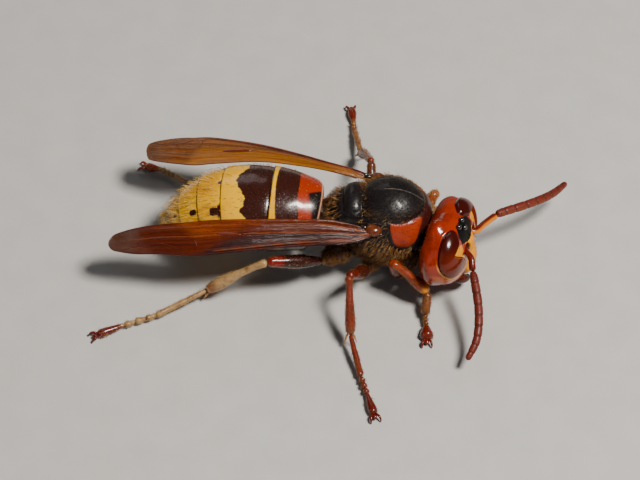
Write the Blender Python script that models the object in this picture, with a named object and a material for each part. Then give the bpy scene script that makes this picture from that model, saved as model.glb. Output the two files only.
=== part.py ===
"""A European hornet standing still, life size, as one solid for each named body part.

Shapes are drawn in millimetres in a design frame: +X is the way the thorax faces, +Y the hornet's left and
+Z up, with the thorax over X = 0, Y = 0 and the floor at Z = 0. Each finished solid is then moved so that the
origin lies on the floor under the middle of the whole spread, and scaled to metres.
"""

import math

import bmesh
import bpy
from mathutils import Matrix, Vector

MM = 0.001
GAP = 0.3
SPREAD_MIDDLE = Vector((-4.16, -0.08, 0.0))
LEFT = 1
RIGHT = -1
SIDES = {"left": LEFT, "right": RIGHT}

# Head: its middle, the way it is turned, and its sizes. Its face is drawn a little to the left of its middle.
HEAD_MIDDLE = Vector((4.58, -1.98, 4.12))
HEAD_YAW = math.radians(-18)
HEAD_PITCH = math.radians(-4)
HEAD_ROLL = math.radians(4)
HEAD_WIDTH = 6.85
HEAD_HEIGHT = 5.85
HEAD_FRONT = 1.87
HEAD_BACK = 1.6
HEAD_ROUNDNESS = 2.3
HEAD_CORNERS = 0.84
CHIN_NARROWING = 0.34
FACE_MIDDLE = 0.12

# What sits on the head, in its own frame, with Y counted outwards from the middle of the face.
FACE_SHIELD = ((1.25, 0, -1.35), (0.85, 1.35, 1.35))
BROW = ((1.42, 0, 0.6), (0.62, 0.75, 0.85))
SMALL_EYES = [(1.36, 0, 2.18), (1.04, 0.33, 2.5), (1.04, -0.33, 2.5)]
SMALL_EYE_RADIUS = 0.24
NECK = [(-0.6, 0, 0.1), (-1.9, 0.15, 0.15)]
NECK_RADII = [1.0, 0.85]
MANDIBLE = [(0.8, 1.45, -2.05), (1.15, 1.25, -2.5), (1.45, 0.85, -2.85), (1.58, 0.38, -3.05)]
MANDIBLE_RADII = [0.5, 0.5, 0.42, 0.2]

# Compound eyes: kidney-shaped plugs let into the front corners of the head. The outline is given in
# millimetres towards the face and down along the eye, from its middle. It faces one way and bulges another.
EYE_MIDDLE = (0.96, 1.99, 1.47)
EYE_FACES = (0.782, 0.455, 0.426)
EYE_BULGES = (0.5, 0.66, 0.56)
EYE_DOWN = (0.206, 0.456, -0.866)
EYE_OUTLINE = [
    (0.15, -1.68), (0.5, -1.58), (0.68, -1.25), (0.7, -0.8), (0.42, -0.42), (-0.05, -0.02), (0.4, 0.32),
    (0.9, 0.62), (1.12, 1.05), (0.95, 1.5), (0.45, 1.85), (-0.2, 1.88), (-0.75, 1.55), (-1.14, 1.05),
    (-1.29, 0.4), (-1.2, -0.25), (-0.95, -0.85), (-0.5, -1.38),
]
EYE_BULGE = 0.2
EYE_DEPTH = 0.7
EYE_REACH = 2.0

# Feelers: the scape, from its socket on, and the ringed flagellum, as paths through the design frame.
SOCKET = (1.4, 0.84, 1.0)
SCAPE_PATHS = {
    "right": [(6.22, -4.02, 4.98), (6.33, -4.5, 4.72), (6.36, -4.91, 4.4)],
    "left": [(6.65, -1.6, 5.1), (7.4, -0.78, 5.05), (8.27, 0.06, 5.0)],
}
FLAGELLUM_PATHS = {
    "right": [
        (6.36, -4.91, 4.4), (6.5, -5.61, 4.15), (6.76, -7.7, 3.3), (6.6, -9.64, 2.4), (5.87, -11.01, 1.6),
    ],
    "left": [
        (8.27, 0.06, 5.0), (8.75, 0.38, 4.95), (10.92, 1.73, 4.4), (12.6, 3.22, 3.7), (13.84, 4.87, 3.1),
    ],
}
FLAGELLOMERES = 10
SCAPE_RADII = [0.3, 0.27, 0.28, 0.31]
FLAGELLUM_RADIUS = 0.3
FLAGELLUM_ENDS = (0.25, 0.2)

# Thorax: its yaw and the rounded masses that make it, as centre and half sizes in its own frame.
THORAX_YAW = math.radians(-4)
THORAX_MASSES = {
    "mesoscutum": ((0.4, 0, 5.65), (2.75, 2.55, 2.45)),
    "mesopleura": ((-0.1, 0, 4.5), (2.95, 3.1, 3.05)),
    "pronotum": ((1.75, 0, 4.85), (1.75, 2.65, 2.15)),
    "scutellum": ((-2.35, 0, 6.15), (1.2, 1.9, 1.35)),
    "metanotum": ((-3.0, 0, 5.5), (0.95, 1.65, 1.2)),
    "propodeum": ((-2.9, 0, 4.55), (1.6, 2.3, 2.15)),
}
TEGULA_AT = Vector((-0.85, 2.55, 6.25))
TEGULA_HALF = (0.62, 0.45, 0.4)

# Abdomen: its axis is one cubic curve. A station gives the curve's parameter, a half width and a half height.
ABDOMEN_AXIS = [
    Vector((-4.85, 0.36, 4.2)), Vector((-8.6, 0.75, 5.5)), Vector((-13.4, 1.4, 4.7)), Vector((-16.6, 1.2, 2.0)),
]
ABDOMEN_STATIONS = [
    (0.0, 2.6, 2.6), (0.04, 2.92, 2.85), (0.15, 3.15, 2.98), (0.3, 3.42, 3.02), (0.45, 3.5, 2.98),
    (0.6, 3.3, 2.8), (0.75, 2.55, 2.25), (0.86, 1.78, 1.6), (0.94, 1.05, 1.0), (1.0, 0.3, 0.3),
]
SEGMENT_BORDERS = [0.0, 0.305, 0.55, 0.68, 0.805, 0.89, 1.0]
BELLY_FLATNESS = 0.88
RIM_STEP = 0.07
RING_POINTS = 24
PETIOLE = [(-3.6, 0.3, 4.1), (-4.6, 0.34, 4.1), (-5.6, 0.4, 4.2)]
PETIOLE_RADII = [0.7, 0.65, 0.8]

# Forewings, folded lengthwise: (X, fold edge Y, fold edge Z, front edge Y, front edge Z) from root to tip.
FOREWING_STATIONS = {
    "right": [
        (-1.1, -2.45, 6.3, -3.0, 6.25), (-2.3, -2.3, 6.6, -3.6, 6.25), (-4.15, -2.12, 7.0, -3.85, 6.3),
        (-6.4, -2.1, 7.1, -3.9, 6.2), (-10.05, -2.08, 7.05, -4.22, 6.05), (-12.9, -1.92, 6.75, -4.35, 5.75),
        (-14.5, -1.82, 6.4, -4.24, 5.5), (-16.7, -1.53, 5.8, -3.75, 5.2), (-18.5, -1.47, 5.3, -3.34, 4.9),
        (-19.8, -1.9, 4.95, -2.95, 4.8), (-20.6, -2.3, 4.8, -2.6, 4.75),
    ],
    "left": [
        (-1.1, 2.3, 6.3, 2.85, 6.25), (-2.3, 2.4, 6.6, 3.3, 6.45), (-4.15, 2.85, 6.75, 4.0, 6.45),
        (-6.4, 3.6, 6.5, 5.1, 6.2), (-9.4, 4.15, 6.35, 6.27, 6.0), (-12.7, 4.2, 6.1, 7.12, 5.8),
        (-14.3, 4.3, 5.8, 7.35, 5.6), (-15.8, 4.88, 5.4, 7.5, 5.3), (-17.0, 5.45, 5.1, 7.5, 5.0),
        (-17.7, 6.0, 4.9, 7.25, 4.85), (-18.1, 6.5, 4.8, 6.85, 4.8),
    ],
}
WING_THICKNESS = 0.5
VEIN_HEIGHT = 0.18
VEIN_HALF_WIDTH = 0.22
FOREWING_CELLS = (34, 11)
HINDWING_CELLS = (16, 4)
HINDWING_ALONG = (0.09, 0.7)
HINDWING_ACROSS = (0.1, 0.6)
HINDWING_DROP = 0.84

# Main veins of the folded forewing: fractions along its length and across it from the front edge.
FOREWING_VEINS = [
    [(0.0, 0.14), (0.3, 0.1), (0.6, 0.07)],
    [(0.6, 0.07), (0.7, 0.07)],
    [(0.62, 0.12), (0.73, 0.3), (0.88, 0.1)],
    [(0.0, 0.34), (0.25, 0.4), (0.42, 0.5)],
    [(0.32, 0.1), (0.42, 0.5)],
    [(0.42, 0.5), (0.6, 0.53), (0.82, 0.5)],
    [(0.42, 0.5), (0.56, 0.8)],
    [(0.56, 0.14), (0.59, 0.52)],
    [(0.69, 0.24), (0.71, 0.5)],
    [(0.0, 0.62), (0.3, 0.78), (0.56, 0.8), (0.74, 0.86)],
]

# Legs: the joints of each one, from the coxa's root in the thorax to the end of the last tarsomere.
LEG_JOINTS = {
    ("fore", "right"): [(2.0, -1.0, 3.1), (1.25, -2.65, 1.25), (0.44, -3.85, 4.1), (3.14, -4.75, 1.8),
                        (2.92, -5.98, 0.62), (2.99, -6.8, 0.42), (3.02, -8.2, 0.36)],
    ("fore", "left"): [(2.1, 0.9, 3.1), (2.2, 2.3, 1.25), (3.95, 3.3, 3.9), (2.95, 4.0, 1.25),
                       (4.2, 4.2, 0.55), (5.0, 4.1, 0.42), (6.2, 3.6, 0.36)],
    ("mid", "right"): [(-0.7, -1.2, 3.2), (-1.2, -2.5, 1.75), (-2.77, -5.45, 4.55), (-2.65, -8.5, 1.4),
                       (-1.9, -11.7, 0.52), (-1.46, -13.2, 0.42), (-0.95, -15.1, 0.36)],
    ("mid", "left"): [(-0.7, 1.2, 3.2), (-1.0, 2.5, 1.75), (-1.0, 5.85, 4.5), (-1.72, 9.5, 1.4),
                      (-2.19, 12.5, 0.52), (-2.25, 13.45, 0.42), (-2.42, 15.0, 0.36)],
    ("hind", "right"): [(-2.9, -1.3, 3.3), (-4.5, -2.6, 2.9), (-8.83, -4.0, 4.4), (-13.35, -4.04, 1.15),
                        (-17.13, -5.96, 0.5), (-19.44, -6.77, 0.42), (-21.5, -7.7, 0.36)],
    ("hind", "left"): [(-2.9, 1.5, 3.3), (-4.4, 3.1, 2.9), (-8.5, 5.1, 4.4), (-13.2, 5.6, 1.15),
                       (-16.2, 7.9, 0.5), (-17.17, 8.6, 0.42), (-18.5, 9.0, 0.36)],
}
COXA_RADII = {
    "fore": [0.85, 0.8, 0.62, 0.5],
    "mid": [0.85, 0.8, 0.65, 0.5],
    "hind": [1.05, 0.95, 0.7, 0.52],
}
FEMUR_RADII = {
    "fore": [0.36, 0.52, 0.55, 0.36],
    "mid": [0.34, 0.5, 0.46, 0.34],
    "hind": [0.36, 0.48, 0.46, 0.36],
}
TIBIA_RADII = {
    "fore": [0.34, 0.42, 0.5, 0.42],
    "mid": [0.33, 0.36, 0.42, 0.38],
    "hind": [0.34, 0.4, 0.47, 0.38],
}
FEMUR_BOW = (0.12, 0.12)
TIBIA_BOW = (0.0, 0.15)
BASITARSUS_RADIUS = 0.31
SHORT_TARSOMERES = 3
TARSOMERE_RADII = (0.26, 0.35)
LAST_TARSOMERE_RADII = [0.32, 0.45, 0.34]

# A claw's path: forwards and sideways from the foot's end, as shares of its reach and spread, and its height.
CLAW_REACH = 0.62
CLAW_SPREAD = 0.5
CLAW_PATH = [(-0.24, 0.24, 0.34), (0.55, 0.8, 0.34), (1.0, 1.0, 0.12)]
CLAW_RADII = [0.25, 0.2, 0.09]

COLOURS = {
    "chestnut": (0.33, 0.07, 0.02),
    "black": (0.03, 0.02, 0.018),
    "yellow": (0.72, 0.42, 0.06),
    "tan": (0.5, 0.27, 0.1),
    "amber": (0.4, 0.17, 0.04),
    "eye": (0.14, 0.03, 0.02),
}


def clear_scene():
    """Removes whatever the file opened with."""
    for obj in list(bpy.data.objects):
        bpy.data.objects.remove(obj, do_unlink=True)


def make_collection(name, hidden=False):
    """A collection linked to the scene."""
    collection = bpy.data.collections.new(name)
    collection.hide_render = hidden
    bpy.context.scene.collection.children.link(collection)
    return collection


clear_scene()
HORNET = make_collection("european_hornet")
WORKSHOP = make_collection("workshop_forms", hidden=True)


def form_from_bmesh(bm):
    """A workshop object that holds this mesh, with its faces turned outwards."""
    bmesh.ops.recalc_face_normals(bm, faces=bm.faces)
    mesh = bpy.data.meshes.new("form")
    bm.to_mesh(mesh)
    bm.free()
    obj = bpy.data.objects.new("form", mesh)
    obj.display_type = "WIRE"
    WORKSHOP.objects.link(obj)
    return obj


def evaluated_mesh(obj):
    """The object's mesh with its modifiers applied."""
    bpy.context.view_layer.update()
    graph = bpy.context.evaluated_depsgraph_get()
    return bpy.data.meshes.new_from_object(obj.evaluated_get(graph))


def ellipsoid(centre, half_sizes, turn, grow=0.0, cells=(18, 10)):
    """A round mass with these half sizes, each made larger by grow."""
    bm = bmesh.new()
    bmesh.ops.create_uvsphere(bm, u_segments=cells[0], v_segments=cells[1], radius=1.0)
    stretch = Matrix.Diagonal([half + grow for half in half_sizes] + [1.0])
    bm.transform(turn @ Matrix.Translation(Vector(centre)) @ stretch)
    return form_from_bmesh(bm)


def limb(path, radii, grow=0.0, resolution=2):
    """A tube with filled caps along a path, with a radius at each point. Its ends run on by grow."""
    points = [Vector(point) for point in path]
    points[0] += (points[0] - points[1]).normalized() * grow
    points[-1] += (points[-1] - points[-2]).normalized() * grow
    curve = bpy.data.curves.new("limb", "CURVE")
    curve.dimensions = "3D"
    curve.bevel_depth = 1.0
    curve.bevel_resolution = resolution
    curve.use_fill_caps = True
    spline = curve.splines.new("POLY")
    spline.points.add(len(points) - 1)
    for spot, point, radius in zip(spline.points, points, radii):
        spot.co = (*point, 1.0)
        spot.radius = radius + grow
    tube = bpy.data.objects.new("limb", curve)
    WORKSHOP.objects.link(tube)
    mesh = evaluated_mesh(tube)
    bpy.data.objects.remove(tube, do_unlink=True)
    bm = bmesh.new()
    bm.from_mesh(mesh)
    bmesh.ops.remove_doubles(bm, verts=bm.verts, dist=1e-4)
    return form_from_bmesh(bm)


def loft(rings):
    """A closed skin through rings of equally many points, with flat ends."""
    bm = bmesh.new()
    rows = [[bm.verts.new(point) for point in ring] for ring in rings]
    count = len(rings[0])
    for near, far in zip(rows, rows[1:]):
        for k in range(count):
            after = (k + 1) % count
            bm.faces.new((near[k], near[after], far[after], far[k]))
    bm.faces.new(rows[0])
    bm.faces.new(rows[-1])
    return form_from_bmesh(bm)


def combine(obj, operation, others):
    """Joins others to the object, cuts them from it, or keeps what they share, and removes them."""
    tools = make_collection("tools", hidden=True)
    for other in others:
        tools.objects.link(other)
    modifier = obj.modifiers.new("combine", "BOOLEAN")
    modifier.operation = operation
    modifier.operand_type = "COLLECTION"
    modifier.collection = tools
    modifier.solver = "EXACT"
    result = evaluated_mesh(obj)
    obj.modifiers.clear()
    obj.data = result
    for other in others:
        bpy.data.objects.remove(other, do_unlink=True)
    bpy.data.collections.remove(tools)
    return obj


def fuse(forms):
    """One object from overlapping forms."""
    if len(forms) == 1:
        return forms[0]
    return combine(forms[0], "UNION", forms[1:])


def islands(bm):
    """The separate surfaces of a mesh, as lists of faces."""
    left = set(bm.faces)
    found = []
    while left:
        start = left.pop()
        patch = [start]
        queue = [start]
        while queue:
            face = queue.pop()
            for edge in face.edges:
                for neighbour in edge.link_faces:
                    if neighbour in left:
                        left.remove(neighbour)
                        patch.append(neighbour)
                        queue.append(neighbour)
        found.append(patch)
    return found


def keep_largest(obj):
    """Drops every surface but the one with the most area."""
    bm = bmesh.new()
    bm.from_mesh(obj.data)
    patches = sorted(islands(bm), key=lambda patch: sum(face.calc_area() for face in patch))
    for patch in patches[:-1]:
        bmesh.ops.delete(bm, geom=patch, context="FACES")
    bm.to_mesh(obj.data)
    bm.free()


def flatten_feet(obj):
    """Cuts off what lies below the floor, which leaves small flats."""
    bm = bmesh.new()
    bm.from_mesh(obj.data)
    everything = bm.verts[:] + bm.edges[:] + bm.faces[:]
    cut = bmesh.ops.bisect_plane(bm, geom=everything, plane_co=(0, 0, 0), plane_no=(0, 0, -1),
                                 dist=1e-5, clear_outer=True)
    rim = [item for item in cut["geom_cut"] if isinstance(item, bmesh.types.BMEdge)]
    bmesh.ops.holes_fill(bm, edges=rim, sides=0)
    bm.to_mesh(obj.data)
    bm.free()


def material(name, colour, roughness=0.35):
    """A plain shiny surface of one colour."""
    finish = bpy.data.materials.new(name)
    finish.use_nodes = True
    shader = finish.node_tree.nodes["Principled BSDF"]
    shader.inputs["Base Color"].default_value = (*COLOURS[colour], 1.0)
    shader.inputs["Roughness"].default_value = roughness
    shader.inputs["Metallic"].default_value = 0.0
    return finish


def finish_node(name, obj, colour, roughness=0.35):
    """Names a solid, brings it to its place in metres and gives it its material."""
    keep_largest(obj)
    obj.data.transform(Matrix.Diagonal((MM, MM, MM, 1.0)) @ Matrix.Translation(-SPREAD_MIDDLE))
    obj.name = name
    obj.data.name = name
    obj.display_type = "TEXTURED"
    obj.data.materials.clear()
    obj.data.materials.append(material(name, colour, roughness))
    obj.data.shade_smooth()
    obj.data.set_sharp_from_angle(angle=math.radians(35))
    WORKSHOP.objects.unlink(obj)
    HORNET.objects.link(obj)
    return obj


def smooth_value(stations, at):
    """Values between stations, by a cubic through them: each station is a parameter and then its values."""
    keys = [station[0] for station in stations]
    last = len(stations) - 2
    k = min(max(sum(key <= at for key in keys) - 1, 0), last)
    before, after = stations[max(k - 1, 0)], stations[min(k + 2, last + 1)]
    low, high = stations[k], stations[k + 1]
    t = (at - low[0]) / (high[0] - low[0])
    values = []
    for a, b, c, d in list(zip(before, low, high, after))[1:]:
        slope_low = (c - a) / (high[0] - before[0]) * (high[0] - low[0])
        slope_high = (d - b) / (after[0] - low[0]) * (high[0] - low[0])
        rise = (2 * t**3 - 3 * t**2 + 1) * b + (t**3 - 2 * t**2 + t) * slope_low
        values.append(rise + (3 * t**2 - 2 * t**3) * c + (t**3 - t**2) * slope_high)
    return values


def smooth_path(path, count):
    """This many points along a smooth curve through a path's points."""
    stations = [(k, *point) for k, point in enumerate(path)]
    return [Vector(smooth_value(stations, (len(path) - 1) * k / (count - 1))) for k in range(count)]


# The head
HEAD_AIM = Matrix.Rotation(HEAD_YAW, 4, "Z") @ Matrix.Rotation(HEAD_PITCH, 4, "Y")
HEAD_PLACE = Matrix.Translation(HEAD_MIDDLE) @ HEAD_AIM @ Matrix.Rotation(HEAD_ROLL, 4, "X")


def signed_power(value, power):
    """A power that keeps the sign."""
    return math.copysign(abs(value) ** power, value)


def head_capsule(grow=0.0, cells=(28, 18)):
    """The head without its eyes: wide above, narrow at the mouth, flatter behind than in front."""
    bm = bmesh.new()
    bmesh.ops.create_uvsphere(bm, u_segments=cells[0], v_segments=cells[1], radius=1.0)
    for vert in bm.verts:
        level = max(-1.0, min(1.0, vert.co.z))
        around = math.atan2(vert.co.y, vert.co.x)
        reach = max(0.0, 1 - abs(level) ** HEAD_ROUNDNESS) ** (1 / HEAD_ROUNDNESS)
        narrow = 1 - CHIN_NARROWING * max(0.0, -level) ** 1.5
        depth = HEAD_FRONT if math.cos(around) > 0 else HEAD_BACK
        vert.co = (
            reach * signed_power(math.cos(around), HEAD_CORNERS) * (depth + grow),
            reach * signed_power(math.sin(around), HEAD_CORNERS) * narrow * (HEAD_WIDTH / 2 + grow),
            level * (HEAD_HEIGHT / 2 + grow),
        )
    bmesh.ops.remove_doubles(bm, verts=bm.verts, dist=1e-3)
    bm.transform(HEAD_PLACE)
    return form_from_bmesh(bm)


def on_face(point, side=LEFT):
    """A point of the head's own frame, counted outwards from the middle of the face, in the design frame."""
    x, y, z = point
    return HEAD_PLACE @ Vector((x, FACE_MIDDLE + y * side, z))


def face_mass(form, cells):
    """A rounded mass on the head, from its middle and half sizes."""
    (x, y, z), half = form
    return ellipsoid((x, FACE_MIDDLE + y, z), half, HEAD_PLACE, cells=cells)


def eye_prism(side, grow=0.0):
    """A plug with the eye's outline that points the way the eye bulges."""
    faces = Vector((EYE_FACES[0], EYE_FACES[1] * side, EYE_FACES[2]))
    down = Vector((EYE_DOWN[0], EYE_DOWN[1] * side, EYE_DOWN[2]))
    bulges = Vector((EYE_BULGES[0], EYE_BULGES[1] * side, EYE_BULGES[2]))
    towards = down.cross(faces).normalized() * side
    middle = Vector((EYE_MIDDLE[0], FACE_MIDDLE + EYE_MIDDLE[1] * side, EYE_MIDDLE[2]))
    rings = []
    for depth in (-EYE_DEPTH - grow, EYE_REACH + grow):
        ring = []
        for k, (x, y) in enumerate(EYE_OUTLINE):
            before, after = EYE_OUTLINE[k - 1], EYE_OUTLINE[(k + 1) % len(EYE_OUTLINE)]
            outwards = Vector((after[1] - before[1], before[0] - after[0])).normalized() * grow
            spot = middle + towards * (x + outwards.x) + down * (y + outwards.y) + bulges * depth
            ring.append(HEAD_PLACE @ spot)
        rings.append(ring)
    return loft(rings)


def make_head():
    """The head with its face plate, three small eyes and a short neck, and the two compound eyes."""
    small_eyes = [face_mass((spot, [SMALL_EYE_RADIUS] * 3), (10, 6)) for spot in SMALL_EYES]
    neck = limb([HEAD_PLACE @ Vector(point) for point in NECK], NECK_RADII, resolution=3)
    face = [face_mass(FACE_SHIELD, (16, 10)), face_mass(BROW, (12, 8))]
    head = fuse([head_capsule(), neck] + face + small_eyes)
    combine(head, "DIFFERENCE", thorax_masses(GAP))
    for word, side in SIDES.items():
        eye = combine(eye_prism(side), "INTERSECT", [head_capsule(EYE_BULGE, (36, 24))])
        finish_node(f"eye_{word}", eye, "eye", 0.15)
        combine(head, "DIFFERENCE", [eye_prism(side, GAP)])
    return head


def mandible(side, grow=0.0):
    """A jaw, closed across the front of the mouth."""
    return limb([on_face(point, side) for point in MANDIBLE], MANDIBLE_RADII, grow)


def make_mandibles(head):
    """Both jaws, and room for them in the head."""
    for word, side in SIDES.items():
        finish_node(f"mandible_{word}", mandible(side), "chestnut")
        combine(head, "DIFFERENCE", [mandible(side, GAP)])


def ringed(path, rings, radius, neck):
    """A path and its radii for a row of short joints, each a little narrower where it starts."""
    points = smooth_path(path, 2 * rings + 1)
    radii = [neck if k % 2 == 0 else radius for k in range(2 * rings + 1)]
    return points, radii


def make_feelers(head):
    """Each feeler's stiff first joint and its ringed lash."""
    for word, side in SIDES.items():
        path = [on_face(SOCKET, side)] + SCAPE_PATHS[word]
        scape = limb(path, SCAPE_RADII)
        points, radii = ringed(FLAGELLUM_PATHS[word], FLAGELLOMERES, FLAGELLUM_RADIUS, FLAGELLUM_RADIUS - 0.03)
        radii[0], radii[-1] = FLAGELLUM_ENDS
        flagellum = limb(points, radii)
        combine(flagellum, "DIFFERENCE", [limb(path, SCAPE_RADII, GAP)])
        combine(head, "DIFFERENCE", [limb(path, SCAPE_RADII, GAP)])
        finish_node(f"antenna_scape_{word}", scape, "chestnut")
        finish_node(f"antenna_flagellum_{word}", flagellum, "chestnut")


# The thorax
THORAX_TURN = Matrix.Rotation(THORAX_YAW, 4, "Z")


def thorax_masses(grow=0.0):
    """The rounded masses of the thorax."""
    return [ellipsoid(at, half, THORAX_TURN, grow) for at, half in THORAX_MASSES.values()]


def tegula(side, grow=0.0):
    """The small dome over a wing's root."""
    at = (TEGULA_AT.x, TEGULA_AT.y * side, TEGULA_AT.z)
    return ellipsoid(at, TEGULA_HALF, THORAX_TURN, grow, cells=(12, 8))


def make_thorax():
    """The thorax and the domes over the wing roots."""
    finish_node("thorax", fuse(thorax_masses()), "black")
    for word, side in SIDES.items():
        dome = combine(tegula(side), "DIFFERENCE", thorax_masses(GAP))
        finish_node(f"tegula_{word}", dome, "chestnut")


# The abdomen
def axis_point(t):
    """A point of the abdomen's axis."""
    a, b, c, d = ABDOMEN_AXIS
    return a * (1 - t) ** 3 + b * 3 * t * (1 - t) ** 2 + c * 3 * t**2 * (1 - t) + d * t**3


def abdomen_ring(t, scale=1.0, step=0.0):
    """One ring of the abdomen's skin, across its axis."""
    ahead = (axis_point(min(t + 0.01, 1.0)) - axis_point(max(t - 0.01, 0.0))).normalized()
    left = ahead.cross(Vector((0, 0, 1))).normalized()
    up = left.cross(ahead)
    width, height = smooth_value(ABDOMEN_STATIONS, t)
    ring = []
    for k in range(RING_POINTS):
        angle = 2 * math.pi * k / RING_POINTS
        tall = height if math.sin(angle) > 0 else height * BELLY_FLATNESS
        ring.append(
            axis_point(t)
            + left * (width + step) * scale * math.cos(angle)
            + up * (tall + step) * scale * math.sin(angle)
        )
    return ring


def make_abdomen():
    """Six ringed segments, each a little wider at its rear rim than the next one's front."""
    length = sum((axis_point((k + 1) / 50) - axis_point(k / 50)).length for k in range(50))
    half_gap = GAP / length / 2
    borders = list(zip(SEGMENT_BORDERS, SEGMENT_BORDERS[1:]))
    for number, (start, end) in enumerate(borders, 1):
        first = start + (half_gap if number > 1 else 0.0)
        last = end - (half_gap if number < len(borders) else 0.0)
        steps = max(3, round((end - start) * 16))
        rings = []
        if number == 1:
            rings.append(abdomen_ring(first, 0.55))
            rings.append(abdomen_ring(first, 0.88))
        for k in range(steps + 1):
            f = k / steps
            rings.append(abdomen_ring(first + (last - first) * f, step=RIM_STEP * (2 * f - 1)))
        segment = loft(rings)
        if number == 1:
            segment = fuse([segment, limb(PETIOLE, PETIOLE_RADII, resolution=3)])
            combine(segment, "DIFFERENCE", thorax_masses(GAP))
        finish_node(f"abdomen_{number}", segment, "yellow" if number > 1 else "chestnut")


# The wings
def wing_point(word, along, across):
    """A point of the forewing's middle surface."""
    stations = FOREWING_STATIONS[word]
    keyed = [(k, *station) for k, station in enumerate(stations)]
    x, fold_y, fold_z, front_y, front_z = smooth_value(keyed, along * (len(stations) - 1))
    return Vector((x, front_y, front_z)).lerp(Vector((x, fold_y, fold_z)), across)


def to_segment(point, a, b):
    """The distance from a point to a straight stretch."""
    run = b - a
    t = max(0.0, min(1.0, (point - a).dot(run) / run.length_squared))
    return (point - a - run * t).length


def wing_mesh(word, cells, along, across, drop, veins):
    """A blade with veins raised in its upper face. Both faces are split into triangles alike."""
    runs = []
    for vein in veins:
        points = [wing_point(word, *spot) for spot in vein]
        runs += list(zip(points, points[1:]))
    bm = bmesh.new()
    upper, lower = [], []
    for i in range(cells[0] + 1):
        u = along[0] + (along[1] - along[0]) * i / cells[0]
        upper.append([])
        lower.append([])
        for j in range(cells[1] + 1):
            v = across[0] + (across[1] - across[0]) * j / cells[1]
            middle = wing_point(word, u, v)
            near = min((to_segment(middle, a, b) for a, b in runs), default=1.0)
            ridge = VEIN_HEIGHT * max(0.0, 1 - (near / VEIN_HALF_WIDTH) ** 2)
            middle.z -= drop
            upper[-1].append(bm.verts.new(middle + Vector((0, 0, WING_THICKNESS / 2 + ridge))))
            lower[-1].append(bm.verts.new(middle - Vector((0, 0, WING_THICKNESS / 2))))
    for i in range(cells[0]):
        for j in range(cells[1]):
            for sheet, turn in ((upper, 1), (lower, -1)):
                a, b, c, d = sheet[i][j], sheet[i + 1][j], sheet[i + 1][j + 1], sheet[i][j + 1]
                bm.faces.new((a, b, c)[::turn])
                bm.faces.new((a, c, d)[::turn])
    rim_upper, rim_lower = [
        sheet[0] + [row[-1] for row in sheet[1:]] + sheet[-1][-2::-1] + [row[0] for row in sheet[-2:0:-1]]
        for sheet in (upper, lower)
    ]
    for k in range(len(rim_upper)):
        after = (k + 1) % len(rim_upper)
        bm.faces.new((rim_upper[k], rim_upper[after], rim_lower[after], rim_lower[k]))
    return form_from_bmesh(bm)


def make_wings():
    """Both pairs of wings: the folded forewings, and the smaller hindwings close below them."""
    for word, side in SIDES.items():
        forewing = wing_mesh(word, FOREWING_CELLS, (0, 1), (0, 1), 0.0, FOREWING_VEINS)
        combine(forewing, "DIFFERENCE", thorax_masses(GAP) + [tegula(side, GAP)])
        finish_node(f"forewing_{word}", forewing, "amber")
        hindwing = wing_mesh(word, HINDWING_CELLS, HINDWING_ALONG, HINDWING_ACROSS, HINDWING_DROP, [])
        combine(hindwing, "DIFFERENCE", thorax_masses(GAP))
        finish_node(f"hindwing_{word}", hindwing, "amber")


# The legs
def segment_limb(start, end, radii, side, bow=(0.0, 0.0), grow=0.0):
    """A limb between two joints, its radii spread evenly, its middle bowed outwards and up."""
    middle = Vector(start).lerp(Vector(end), 0.5) + Vector((0, bow[0] * side, bow[1]))
    return limb(smooth_path([start, middle, end], len(radii)), radii, grow, resolution=3)


def foot_forms(joints):
    """The foot: a long first joint, three short ones, and the last one with its two claws."""
    ankle, heel, wrist, tip = [Vector(joint) for joint in joints[3:]]
    narrow, wide = TARSOMERE_RADII
    points = [ankle.lerp(heel, f) for f in (0.0, 0.2, 0.9, 1.0)]
    radii = [narrow, BASITARSUS_RADIUS, BASITARSUS_RADIUS, narrow]
    for k in range(SHORT_TARSOMERES):
        points += [heel.lerp(wrist, (k + f) / SHORT_TARSOMERES) for f in (0.75, 1.0)]
        radii += [wide, narrow]
    points += [wrist.lerp(tip, f) for f in (0.35, 0.8, 1.0)]
    radii += LAST_TARSOMERE_RADII
    ahead = (tip - wrist).normalized()
    aside = ahead.cross(Vector((0, 0, 1))).normalized()
    forms = [limb(points, radii)]
    for side in (LEFT, RIGHT):
        path = []
        for forwards, sideways, height in CLAW_PATH:
            spot = tip + ahead * CLAW_REACH * forwards + aside * CLAW_SPREAD * sideways * side
            path.append((spot.x, spot.y, height))
        forms.append(limb(path, CLAW_RADII))
    return forms


def make_legs():
    """Six legs, each as a coxa, a femur, a tibia and a foot."""
    for (pair, word), joints in LEG_JOINTS.items():
        root, hip, knee, ankle = joints[:4]
        side = SIDES[word]
        coxa_form = (root, hip, COXA_RADII[pair], side)
        femur_form = (hip, knee, FEMUR_RADII[pair], side, FEMUR_BOW)
        tibia_form = (knee, ankle, TIBIA_RADII[pair], side, TIBIA_BOW)
        coxa = segment_limb(*coxa_form)
        combine(coxa, "DIFFERENCE", thorax_masses(GAP) + [head_capsule(GAP)])
        femur = segment_limb(*femur_form)
        combine(femur, "DIFFERENCE", [segment_limb(*coxa_form, grow=GAP)] + thorax_masses(GAP))
        tibia = segment_limb(*tibia_form)
        combine(tibia, "DIFFERENCE", [segment_limb(*femur_form, grow=GAP)])
        foot = fuse(foot_forms(joints))
        combine(foot, "DIFFERENCE", [segment_limb(*tibia_form, grow=GAP)])
        flatten_feet(foot)
        finish_node(f"{pair}_coxa_{word}", coxa, "black")
        finish_node(f"{pair}_femur_{word}", femur, "chestnut")
        finish_node(f"{pair}_tibia_{word}", tibia, "tan" if pair == "hind" else "chestnut")
        finish_node(f"{pair}_tarsus_{word}", foot, "tan")


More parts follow.
